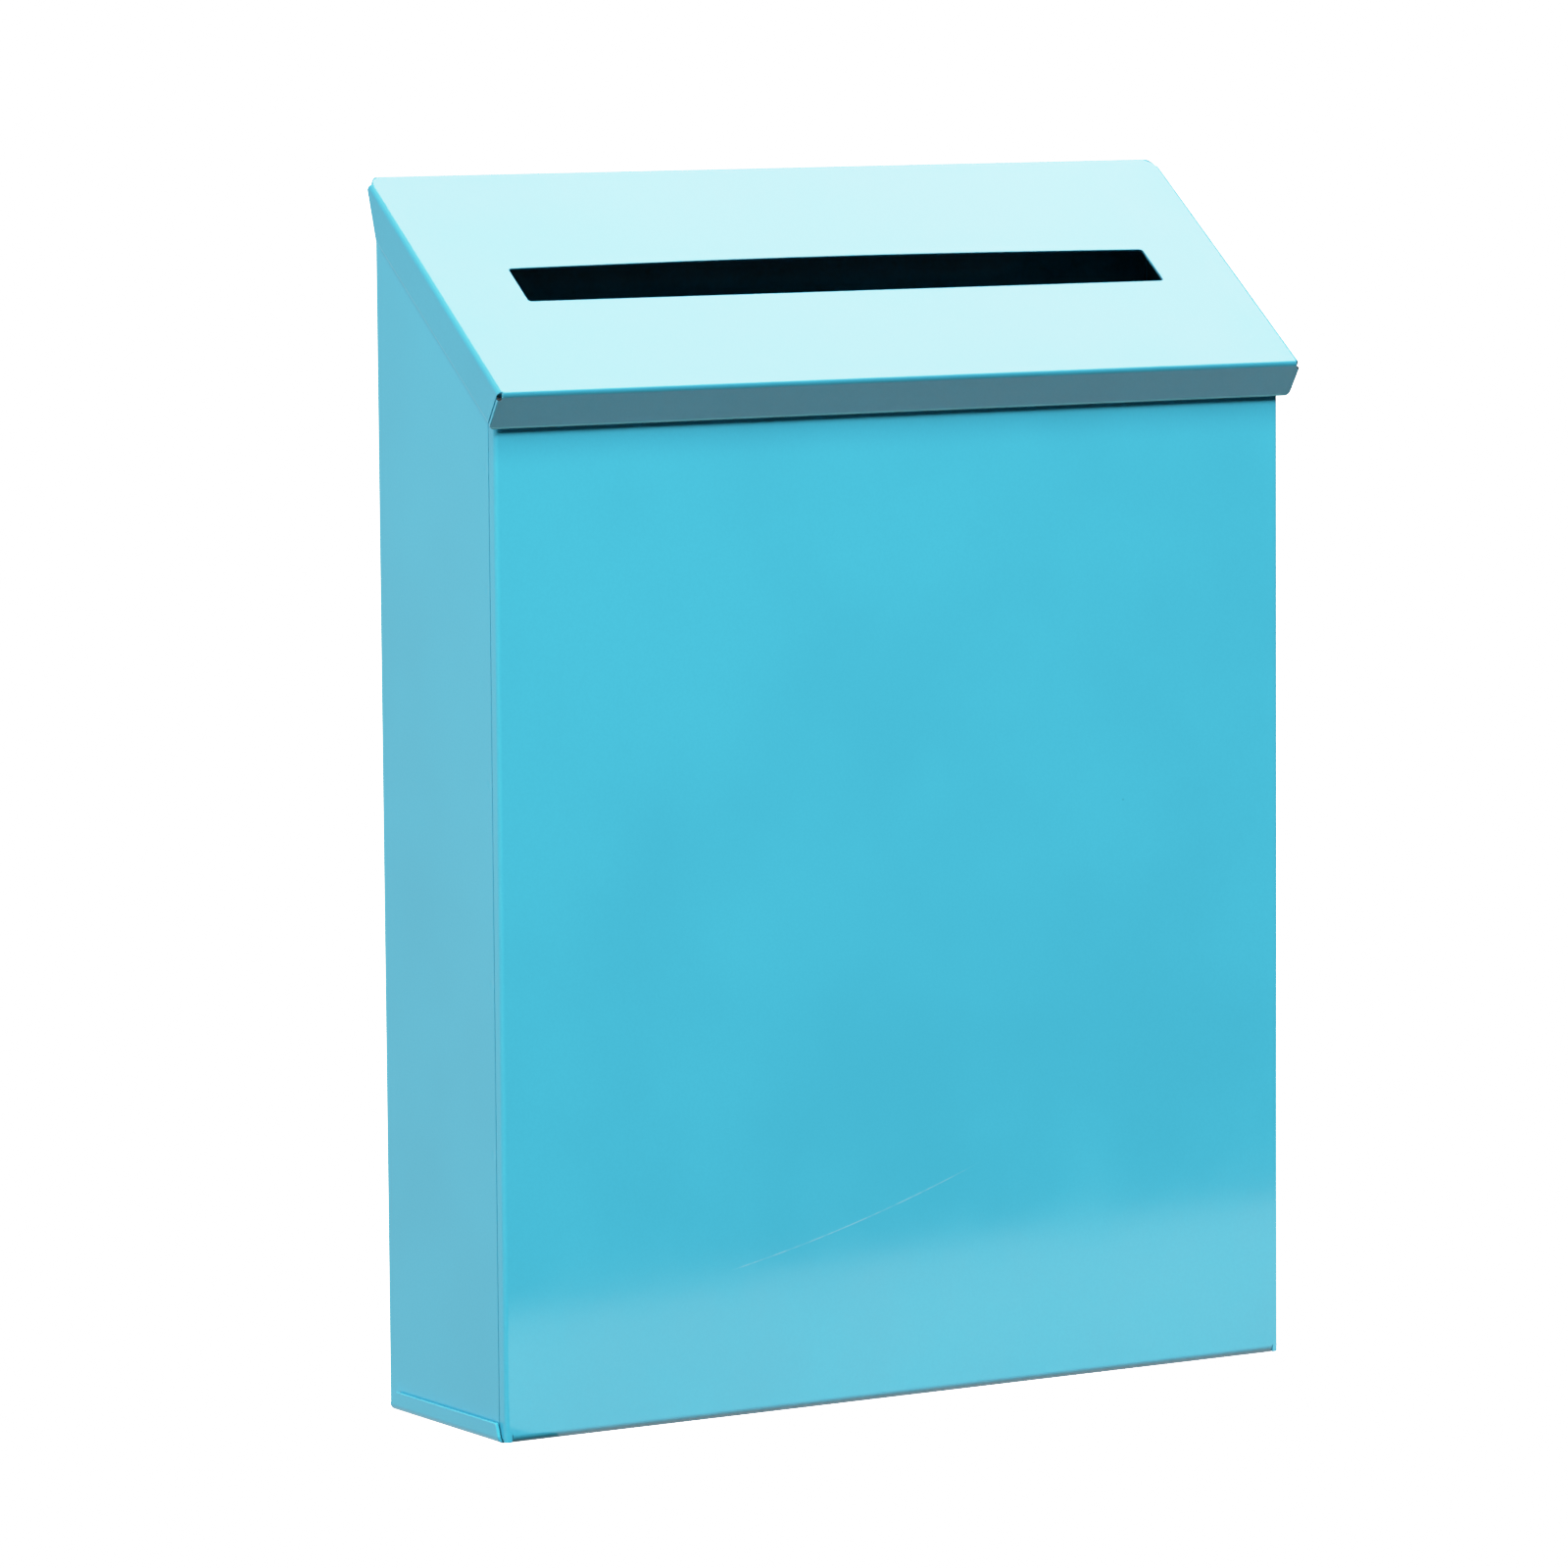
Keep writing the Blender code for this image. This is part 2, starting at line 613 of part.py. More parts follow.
def main():
    for old in list(bpy.data.objects):
        bpy.data.objects.remove(old, do_unlink=True)
    blue = (0.12, 0.52, 0.66)
    body_paint = painted("body_paint", blue, 0.38, 0.0)
    lid_paint = painted("lid_paint", blue, 0.36, 0.0)
    back_paint = painted("back_paint", blue, 0.42, 0.0)
    zinc = painted("zinc_plated_steel", (0.62, 0.63, 0.64), 0.35, 1.0)
    aluminium = painted("rivet_aluminium", (0.78, 0.79, 0.8), 0.4, 1.0)

    fixed = empty("body_frame", WORLD_SHIFT)
    moving = empty("lid_pivot", HINGE_AXIS, fixed)

    make_front_and_floor(body_paint, fixed)
    make_side_panel(-1, "left_side_panel", body_paint, fixed)
    make_side_panel(1, "right_side_panel", body_paint, fixed)
    make_back_panel(back_paint, fixed)
    make_lid(lid_paint, moving)
    for side_name, centre in hinge_centres():
        make_hinge(side_name, centre, zinc, fixed, moving)
        make_rivets(side_name, centre, aluminium, fixed)
        make_studs_and_nuts(side_name, centre, zinc, moving)


main()
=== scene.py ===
"""Looks of a wall-hung drop box of painted sheet steel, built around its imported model.

Units are metres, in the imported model's frame: +Z is up, the front faces -Y, and the floor is z = 0.
Each bent sheet is drawn as its outer face, with fine bends, and made thick by a modifier.
"""

import json
import math

import bmesh
import bpy
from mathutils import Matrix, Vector


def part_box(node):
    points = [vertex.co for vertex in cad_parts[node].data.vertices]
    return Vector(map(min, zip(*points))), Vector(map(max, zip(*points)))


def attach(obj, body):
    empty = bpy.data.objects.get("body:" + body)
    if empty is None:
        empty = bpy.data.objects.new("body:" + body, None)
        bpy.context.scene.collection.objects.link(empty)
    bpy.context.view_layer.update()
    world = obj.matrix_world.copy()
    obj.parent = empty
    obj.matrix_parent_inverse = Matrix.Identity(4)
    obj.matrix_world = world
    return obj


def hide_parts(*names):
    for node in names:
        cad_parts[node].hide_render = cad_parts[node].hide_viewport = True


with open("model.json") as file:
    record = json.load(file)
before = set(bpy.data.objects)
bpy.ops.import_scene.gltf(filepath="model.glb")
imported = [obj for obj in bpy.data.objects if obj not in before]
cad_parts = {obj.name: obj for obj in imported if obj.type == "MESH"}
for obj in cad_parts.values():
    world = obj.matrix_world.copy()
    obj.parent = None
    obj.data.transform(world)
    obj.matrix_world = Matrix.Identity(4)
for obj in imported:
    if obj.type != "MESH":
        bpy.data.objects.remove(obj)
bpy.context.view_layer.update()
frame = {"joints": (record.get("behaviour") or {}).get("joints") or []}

MM = 0.001
X = Vector((1, 0, 0))
Y = Vector((0, 1, 0))
Z = Vector((0, 0, 1))

# Sheet metal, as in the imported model
SHEET = 1.0 * MM
GAP = 0.3 * MM
INSIDE_BEND = 1.0 * MM
OUTER_BEND = INSIDE_BEND + SHEET
FLOOR_BEND = 1.5 * MM
ARC_STEPS = 14  # facets of a quarter turn
CUT_EDGE = 0.2 * MM  # rounding of the sheets' cut edges under the paint

# Body
RETURN_WIDTH = 12.0 * MM
RETURN_BEND = 0.3 * MM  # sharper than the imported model's, as in the photo
RETURN_OUTER_BEND = RETURN_BEND + SHEET
JOGGLE_TURN = math.radians(86.0)
SEAM = 0.04 * MM  # width of the painted seam between the front's return and a side panel
SIDE_FLANGE = 14.0 * MM
FRONT_LIP = 8.0 * MM
FLOOR_TAB = 5.6 * MM
FLOOR_REAR_FLANGE = 10.0 * MM
TAB_REAR_SETBACK = 3.5 * MM
TAB_REAR_SLANT = 3.3 * MM
TAB_FRONT_SETBACK = 2.5 * MM
TAB_SLANT = 1.3 * MM
CORNER_SLIT = 0.12 * MM  # between the front's return and the floor's bend, at the lower corners
CORNER_TONGUE = 0.8 * MM  # how much of the front reaches down past the floor's bend there
CORNER_FOOT = 0.4 * MM

# Lid
LID_SLOPE = math.radians(37.3)
LID_INSIDE_BEND = 0.3 * MM  # as sharp as the return's
LID_OUTER_BEND = LID_INSIDE_BEND + SHEET
LID_REAR_SETBACK = 0.6 * MM
LID_SIDE_FLANGE = 10.5 * MM
LID_SIDE_FLANGE_SLANT = 12.4 * MM
LID_FRONT_FLANGE = 11.7 * MM
LID_FRONT_LEAN = math.radians(33.0)
LID_FRONT_CORNER = 1.6 * MM
LID_NOTCH = 0.6 * MM  # depth of the relief at the front corners
LID_SEAM = 0.35 * MM  # between the ends of the side flanges and the front flange
LID_CORNER = 3.2 * MM
SLOT_WIDTH = 213.0 * MM
SLOT_START = 42.6 * MM
SLOT_HEIGHT = 14.3 * MM
SLOT_ARCH = 1.2 * MM
SLOT_CORNER = 1.0 * MM
SLOT_ROLL = 0.35 * MM  # width of the punched edge's rounding
SLOT_SINK = 0.15 * MM  # and its depth

# Hinges and fasteners
LEAF = 0.8 * MM
LEAF_REACH = 17.0 * MM
KNUCKLE_RADIUS = 1.9 * MM
KNUCKLE_TURN = math.radians(285.0)
FASTENER_SPACING = 24.0 * MM
FASTENER_REACH = 11.0 * MM
RIVET_RADIUS = 1.6 * MM
RIVET_HEAD_RADIUS = 3.2 * MM
RIVET_HEAD_HEIGHT = 1.0 * MM
RIVET_TAIL_RADIUS = 2.5 * MM
RIVET_TAIL_HEIGHT = 1.5 * MM
MANDREL_RADIUS = 0.9 * MM  # broken stem in the middle of the rivet's head
STUD_RADIUS = 1.5 * MM
STUD_PAST_NUT = 1.2 * MM
THREAD_PITCH = 0.5 * MM
THREAD_DEPTH = 0.25 * MM
NUT_ACROSS_FLATS = 5.5 * MM
NUT_HEIGHT = 2.4 * MM

# Back panel
BOSS_BASE_RADIUS = 17.0 * MM
BOSS_TOP_RADIUS = 11.0 * MM
BOSS_SPREAD = 180.0 * MM
UPPER_BOSS_HEIGHT = 285.0 * MM
LOWER_BOSS_HEIGHT = 45.0 * MM
KEYHOLE_HEAD_RADIUS = 4.5 * MM
KEYHOLE_SLOT_RADIUS = 2.3 * MM
KEYHOLE_RISE = 8.0 * MM
KEYHOLE_DROP = 3.5 * MM

# Marks of making on the side panels: shallow dishes where they are spot welded to the front's return
WELD_HEIGHTS = [81 * MM, 128.5 * MM, 184 * MM, 238 * MM, 271 * MM]
WELD_BEHIND_SEAM = 1.6 * MM
WELD_RADIUS = 1.0 * MM
WELD_DEPTH = 0.16 * MM

# A long, fine scratch low on the front: an arc around a point high above it, as (across, up)
SCRATCH_CENTRE = (-158.6 * MM, 558.4 * MM)
SCRATCH_RADIUS = 526.0 * MM
SCRATCH_ENDS = (-58.0 * MM, 28.0 * MM)
SCRATCH_WIDTH = 0.50 * MM

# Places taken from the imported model
rear_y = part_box("left_side_panel")[1].y
front_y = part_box("front_and_floor_panel")[0].y
front_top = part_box("front_and_floor_panel")[1].z
half_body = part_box("right_side_panel")[1].x
back_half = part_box("back_panel")[1].x
back_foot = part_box("back_panel")[0].z
back_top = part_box("back_panel")[1].z
boss_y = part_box("back_panel")[1].y
back_y = rear_y - SHEET - GAP
lid_front_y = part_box("lid")[0].y
side_front_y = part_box("left_side_panel")[0].y
half_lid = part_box("lid")[1].x
lid_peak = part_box("lid")[1].z + LID_REAR_SETBACK * math.sin(LID_SLOPE)
hinge_axis = Vector(frame["joints"][0]["pos_m"])

DOWN_SLOPE = Vector((0, -math.cos(LID_SLOPE), -math.sin(LID_SLOPE)))
LID_NORMAL = Vector((0, -math.sin(LID_SLOPE), math.cos(LID_SLOPE)))
hinge_along = (hinge_axis - Vector((0, rear_y, lid_peak))).dot(DOWN_SLOPE)


def lid_point(x, along, above=0.0):
    """A point by its place on the lid: across, down the slope from the rear plane, above the top face."""
    return Vector((x, rear_y, lid_peak)) + DOWN_SLOPE * along + LID_NORMAL * above


# The lid's front edge: where its bend begins, how far it turns, and where the front flange ends
lid_front_turn = math.pi / 2 + LID_FRONT_LEAN - LID_SLOPE
lid_front = (rear_y - lid_front_y - LID_OUTER_BEND * (1 - math.sin(LID_SLOPE))) / math.cos(LID_SLOPE)
flange_tangent = LID_OUTER_BEND * math.tan(lid_front_turn / 2)
flange_down = DOWN_SLOPE * math.cos(lid_front_turn) - LID_NORMAL * math.sin(lid_front_turn)
flange_end = lid_point(0, lid_front + flange_tangent) + flange_down * LID_FRONT_FLANGE


def height_under_lid(y, below=0.0):
    return lid_peak + (y - rear_y) * math.tan(LID_SLOPE) - (SHEET + below) / math.cos(LID_SLOPE)


def arc(centre, radius, first, last, steps):
    turns = [first + (last - first) * i / steps for i in range(steps + 1)]
    return [(centre[0] + radius * math.cos(t), centre[1] + radius * math.sin(t)) for t in turns]


def circle(centre, radius, steps=48):
    return arc(centre, radius, 0, 2 * math.pi, steps)[:-1]


def bump_of(distance, radius):
    """1 at the middle of a round mark, falling smoothly to nothing."""
    return math.exp(-((distance / radius) ** 2))


# ---------------------------------------------------------------- materials


class Nodes:
    """Short calls that add nodes to one material."""

    def __init__(self, name):
        self.material = bpy.data.materials.new(name)
        self.material.use_nodes = True
        self.tree = self.material.node_tree
        self.shader = self.tree.nodes["Principled BSDF"]
        self.place = self.add("ShaderNodeTexCoord").outputs["Object"]

    def add(self, kind, **settings):
        node = self.tree.nodes.new(kind)
        for key, value in settings.items():
            setattr(node, key, value)
        return node

    def link(self, source, target):
        if isinstance(source, bpy.types.NodeSocket):
            self.tree.links.new(source, target)
        else:
            target.default_value = source

    def noise(self, scale, detail=2.0, roughness=0.5, place=None):
        node = self.add("ShaderNodeTexNoise")
        self.link(place or self.place, node.inputs["Vector"])
        self.link(scale, node.inputs["Scale"])
        self.link(detail, node.inputs["Detail"])
        self.link(roughness, node.inputs["Roughness"])
        return node.outputs["Fac"]

    def stretched(self, factors):
        node = self.add("ShaderNodeMapping")
        self.link(self.place, node.inputs["Vector"])
        node.inputs["Scale"].default_value = factors
        return node.outputs["Vector"]

    def math(self, operation, first, second=0.0, clamp=False):
        node = self.add("ShaderNodeMath", operation=operation, use_clamp=clamp)
        self.link(first, node.inputs[0])
        self.link(second, node.inputs[1])
        return node.outputs[0]

    def coordinates(self):
        """The three coordinates of the place on the piece."""
        node = self.add("ShaderNodeSeparateXYZ")
        self.link(self.place, node.inputs[0])
        return list(node.outputs)

    def length(self, first, second):
        squares = [self.math("MULTIPLY", value, value) for value in (first, second)]
        return self.math("SQRT", self.math("ADD", *squares))

    def ranged(self, value, low, high, out_low, out_high):
        """Maps low..high smoothly to out_low..out_high."""
        node = self.add("ShaderNodeMapRange", interpolation_type="SMOOTHSTEP")
        for socket, number in zip(node.inputs, (value, low, high, out_low, out_high)):
            self.link(number, socket)
        return node.outputs[0]

    def mix(self, factor, first, second):
        node = self.add("ShaderNodeMix", data_type="RGBA")
        self.link(factor, node.inputs["Factor"])
        self.link(first, node.inputs["A"])
        self.link(second, node.inputs["B"])
        return node.outputs["Result"]

    def bump(self, height, distance, strength=1.0, normal=None):
        node = self.add("ShaderNodeBump")
        node.inputs["Strength"].default_value = strength
        node.inputs["Distance"].default_value = distance
        self.link(height, node.inputs["Height"])
        if normal:
            self.link(normal, node.inputs["Normal"])
        return node.outputs["Normal"]

    def edge(self, radius):
        """1 on edges sharper than this radius, 0 on flat stretches."""
        rounded = self.add("ShaderNodeBevel", samples=4)
        rounded.inputs["Radius"].default_value = radius
        geometry = self.add("ShaderNodeNewGeometry")
        likeness = self.add("ShaderNodeVectorMath", operation="DOT_PRODUCT")
        self.link(rounded.outputs["Normal"], likeness.inputs[0])
        self.link(geometry.outputs["Normal"], likeness.inputs[1])
        return self.ranged(likeness.outputs["Value"], 0.75, 0.985, 1.0, 0.0)

    def finish(self, colour, roughness, normal, metallic=0.0):
        self.link(colour, self.shader.inputs["Base Color"])
        self.link(roughness, self.shader.inputs["Roughness"])
        self.link(normal, self.shader.inputs["Normal"])
        self.shader.inputs["Metallic"].default_value = metallic
        return self.material


def shade(colour, factor):
    return (*[min(1.0, c * factor) for c in colour], 1)


# Paint
BLUE = (0.065, 0.50, 0.69)
# Painted shade: a darker, greyer blue for the body's inner faces, standing in for the shade inside the box
INSIDE_SHADE = (0.055, 0.26, 0.33, 1)
# Painted highlight: a near-white cyan for the lower edge of the lid's front flange
FLANGE_HIGHLIGHT = (0.16, 0.85, 0.98, 1)
# Painted shade: near-black for the dark openings of the lid's corner reliefs
RELIEF_SHADE = (0.005, 0.012, 0.015, 1)
BODY_ROUGHNESS = 0.13
LID_ROUGHNESS = 0.15
CLOUD_SCALE = 14.0  # these scales are waves per metre
GRAIN_SCALE = 1500.0
SPECK_SCALE = 38.0
WEAR_SCALE = 160.0
HANDLING_SCALE = 28.0
# Size of the patches in the painted shade inside the body
INSIDE_SHADE_SCALE = 30.0
PEEL_SCALE = 420.0
PEEL_HEIGHT = 0.035 * MM
FINE_PEEL_SCALE = 2600.0
FINE_PEEL_HEIGHT = 0.008 * MM
PEEL_STRENGTH = 0.3
WORN_EDGE = 0.45 * MM

# Bare metal
ZINC = (0.60, 0.61, 0.62)
ALUMINIUM = (0.74, 0.75, 0.76)
ZINC_ROUGHNESS = 0.36
ALUMINIUM_ROUGHNESS = 0.38
PATCH_SCALE = 220.0
DRAWN_GRAIN_SCALE = 1800.0
DRAWN_GRAIN_HEIGHT = 0.01 * MM
BRIGHT_EDGE = 0.25 * MM

# Extents of single marks
SCRATCH_START_FADE = 6 * MM
SCRATCH_END_FADE = 20 * MM
SCRATCH_BREAKS_SCALE = 240.0
RELIEF_RADIUS = 0.75 * MM
RELIEF_FADE = 0.2 * MM


def scratch_on_front(nodes):
    """Up to 0.45 along the scratch, fading at its ends."""
    across, depth, up = nodes.coordinates()
    from_centre = nodes.length(
        nodes.math("SUBTRACT", across, SCRATCH_CENTRE[0]), nodes.math("SUBTRACT", up, SCRATCH_CENTRE[1])
    )
    off_line = nodes.math("ABSOLUTE", nodes.math("SUBTRACT", from_centre, SCRATCH_RADIUS))
    line = nodes.ranged(off_line, SCRATCH_WIDTH / 4, SCRATCH_WIDTH / 2, 1.0, 0.0)
    start, end = SCRATCH_ENDS
    line = nodes.math("MULTIPLY", line, nodes.ranged(across, start, start + SCRATCH_START_FADE, 0.0, 1.0))
    line = nodes.math("MULTIPLY", line, nodes.ranged(across, end - SCRATCH_END_FADE, end, 1.0, 0.0))
    on_front = nodes.ranged(depth, front_y + 0.3 * MM, front_y + 0.5 * MM, 1.0, 0.0)
    line = nodes.math("MULTIPLY", line, on_front)
    breaks = nodes.ranged(nodes.noise(SCRATCH_BREAKS_SCALE), 0.35, 0.6, 0.15, 0.45)
    return nodes.math("MULTIPLY", line, breaks)


def inside_body(nodes):
    """1 on the inner faces of the body's sheets, 0 on the outer ones."""
    across, depth, up = nodes.coordinates()
    walls = [
        nodes.math("SUBTRACT", half_body, nodes.math("ABSOLUTE", across)),
        nodes.math("SUBTRACT", depth, front_y),
        nodes.math("SUBTRACT", back_y, depth),
        up,
    ]
    nearest = walls[0]
    for wall in walls[1:]:
        nearest = nodes.math("MINIMUM", nearest, wall)
    between_walls = nodes.ranged(nearest, 0.65 * SHEET, 0.9 * SHEET, 0.0, 1.0)
    facing = nodes.add("ShaderNodeSeparateXYZ")
    nodes.link(nodes.add("ShaderNodeTexCoord").outputs["Normal"], facing.inputs[0])
    forward = nodes.ranged(facing.outputs["Y"], -0.4, -0.2, 1.0, 0.0)
    at_back = nodes.ranged(depth, back_y - 1.3 * SHEET, back_y - 1.1 * SHEET, 0.0, 1.0)
    return nodes.math("MAXIMUM", between_walls, nodes.math("MULTIPLY", forward, at_back))


def lower_edge_of_lid(nodes):
    """1 on the last half millimetre of the lid's side flanges, where a painted highlight goes."""
    across, _, _ = nodes.coordinates()
    along_normal = nodes.add("ShaderNodeVectorMath", operation="DOT_PRODUCT")
    nodes.link(nodes.place, along_normal.inputs[0])
    along_normal.inputs[1].default_value = LID_NORMAL
    depth = nodes.math("SUBTRACT", lid_point(0, 0).dot(LID_NORMAL), along_normal.outputs["Value"])
    at_edge = nodes.ranged(depth, LID_SIDE_FLANGE - 0.55 * MM, LID_SIDE_FLANGE - 0.25 * MM, 0.0, 1.0)
    off_middle = nodes.math("ABSOLUTE", across)
    outermost = nodes.ranged(off_middle, half_lid - 0.3 * MM, half_lid - 0.1 * MM, 0.0, 1.0)
    return nodes.math("MULTIPLY", at_edge, outermost)


def lower_edge_of_front_flange(nodes):
    """1 on the last half millimetre of the lid's front flange, where a painted highlight goes."""
    up = nodes.coordinates()[2]
    return nodes.ranged(up, flange_end.z + 0.45 * MM, flange_end.z + 0.75 * MM, 1.0, 0.0)


def corner_relief_of_lid(nodes):
    """1 in and around the small reliefs at the lid's front corners, where near-black painted shade darkens
    the openings.
    """
    across, depth, up = nodes.coordinates()
    relief = lid_point(half_lid - 0.5 * MM, lid_front + 0.7 * MM, -1.5 * MM)
    across = nodes.math("SUBTRACT", nodes.math("ABSOLUTE", across), relief.x)
    depth = nodes.math("SUBTRACT", depth, relief.y)
    up = nodes.math("SUBTRACT", up, relief.z)
    distance = nodes.length(nodes.length(across, depth), up)
    return nodes.ranged(distance, RELIEF_RADIUS, RELIEF_RADIUS + RELIEF_FADE, 1.0, 0.0)


def powder_coat(name, colour, roughness, on_body):
    """Semi-gloss powder coat: orange peel, faint clouds of tone, narrow rubbed edges and a few specks.

    The body's is scratched on the front, and painted a darker, greyer blue on the inside as painted shade
    for the box's interior.
    The lid's has painted highlights along its lower edges and painted shade at the reliefs of its front
    corners.
    """
    nodes = Nodes(name)
    clouds = nodes.ranged(nodes.noise(CLOUD_SCALE, 3.0), 0.3, 0.7, 0.0, 1.0)
    tone = nodes.mix(clouds, shade(colour, 0.965), shade(colour, 1.03))
    grain = nodes.ranged(nodes.noise(GRAIN_SCALE, 1.0), 0.35, 0.65, 0.0, 0.10)
    tone = nodes.mix(grain, tone, shade(colour, 0.80))
    cells = nodes.add("ShaderNodeTexVoronoi")
    nodes.link(nodes.place, cells.inputs["Vector"])
    cells.inputs["Scale"].default_value = SPECK_SCALE
    chosen = nodes.math("GREATER_THAN", cells.outputs["Color"], 0.62)
    speck = nodes.ranged(cells.outputs["Distance"], 0.006, 0.013, 0.55, 0.0)
    tone = nodes.mix(nodes.math("MULTIPLY", speck, chosen), tone, shade(colour, 0.45))
    rubbing = nodes.ranged(nodes.noise(WEAR_SCALE), 0.35, 0.6, 0.05, 0.35)
    worn = nodes.math("MULTIPLY", nodes.edge(WORN_EDGE), rubbing)
    light = (0.30 + 0.5 * colour[0], 0.30 + 0.62 * colour[1], 0.30 + 0.64 * colour[2], 1)
    tone = nodes.mix(worn, tone, light)
    if on_body:
        tone = nodes.mix(scratch_on_front(nodes), tone, light)
        # Painted shade: the inner faces are mixed to a darker, greyer blue in patches, for the shade inside
        # the box
        inside = inside_body(nodes)
        patches = nodes.ranged(nodes.noise(INSIDE_SHADE_SCALE, 4.0), 0.35, 0.65, 0.0, 1.0)
        shaded_inside = nodes.mix(patches, INSIDE_SHADE, shade(INSIDE_SHADE[:3], 0.88))
        tone = nodes.mix(inside, tone, shaded_inside)
    else:
        # Painted highlight: a faint pale line along the lower edges of the lid's side flanges
        tone = nodes.mix(nodes.math("MULTIPLY", lower_edge_of_lid(nodes), 0.2), tone, light)
        # Painted highlight: a pale line along the lower edge of the lid's front flange
        front_flange_highlight = nodes.math("MULTIPLY", lower_edge_of_front_flange(nodes), 0.7)
        tone = nodes.mix(front_flange_highlight, tone, FLANGE_HIGHLIGHT)
        # Painted shade: near-black around the lid's corner reliefs, for the darkness of the openings
        tone = nodes.mix(corner_relief_of_lid(nodes), tone, RELIEF_SHADE)
    handled = nodes.ranged(nodes.noise(HANDLING_SCALE, 4.0, 0.6), 0.3, 0.75, -0.02, 0.04)
    gloss = nodes.math("ADD", handled, roughness)
    normal = nodes.bump(nodes.noise(PEEL_SCALE, 1.5), PEEL_HEIGHT, PEEL_STRENGTH)
    normal = nodes.bump(nodes.noise(FINE_PEEL_SCALE, 2.0), FINE_PEEL_HEIGHT, PEEL_STRENGTH, normal)
    return nodes.finish(tone, gloss, normal)


def plated_metal(name, colour, roughness, stretch):
    """Bare metal with a fine drawn grain, dull patches and brighter edges."""
    nodes = Nodes(name)
    patches = nodes.ranged(nodes.noise(PATCH_SCALE, 3.0), 0.3, 0.7, 0.0, 1.0)
    tone = nodes.mix(patches, shade(colour, 0.82), shade(colour, 1.08))
    grain = nodes.noise(DRAWN_GRAIN_SCALE, 2.0, 0.6, nodes.stretched(stretch))
    tone = nodes.mix(nodes.ranged(grain, 0.4, 0.7, 0.0, 0.25), tone, shade(colour, 0.6))
    tone = nodes.mix(nodes.edge(BRIGHT_EDGE), tone, shade(colour, 1.25))
    gloss = nodes.math("ADD", nodes.ranged(patches, 0.0, 1.0, 0.07, -0.05), roughness)
    return nodes.finish(tone, gloss, nodes.bump(grain, DRAWN_GRAIN_HEIGHT, 0.6), 1.0)


body_paint = powder_coat("body_powder_coat", BLUE, BODY_ROUGHNESS, True)
lid_paint = powder_coat("lid_powder_coat", BLUE, LID_ROUGHNESS, False)
zinc = plated_metal("zinc_plate", ZINC, ZINC_ROUGHNESS, (1.0, 0.12, 0.12))
aluminium = plated_metal("rivet_aluminium", ALUMINIUM, ALUMINIUM_ROUGHNESS, (1.0, 1.0, 0.3))


# ---------------------------------------------------------------- pieces


def show(name, mesh_data, material, body, replaced):
    """Puts a finished bmesh into the scene as a piece that stands for a CAD node."""
    mesh = bpy.data.meshes.new(name)
    mesh_data.to_mesh(mesh)
    mesh_data.free()
    mesh.materials.append(material)
    mesh.shade_smooth()
    piece = bpy.data.objects.new(name, mesh)
    bpy.context.scene.collection.objects.link(piece)
    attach(piece, body)
    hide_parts(replaced)
    return piece


def soften(piece, rounding):
    """Rounds sharp edges and keeps flat stretches flat in the shading."""
    if rounding:
        bevel = piece.modifiers.new("cut_edges", "BEVEL")
        bevel.width = rounding
        bevel.segments = 3
        bevel.limit_method = "ANGLE"
        bevel.angle_limit = math.radians(50)
        bevel.use_clamp_overlap = False
    normals = piece.modifiers.new("normals", "WEIGHTED_NORMAL")
    normals.mode = "FACE_AREA"
    normals.keep_sharp = True


def turn_inward(out, inward, angle):
    """Turns a sheet's direction, and its inner side with it."""
    new_out = out * math.cos(angle) + inward * math.sin(angle)
    new_inward = inward * math.cos(angle) - out * math.sin(angle)
    return new_out, new_inward


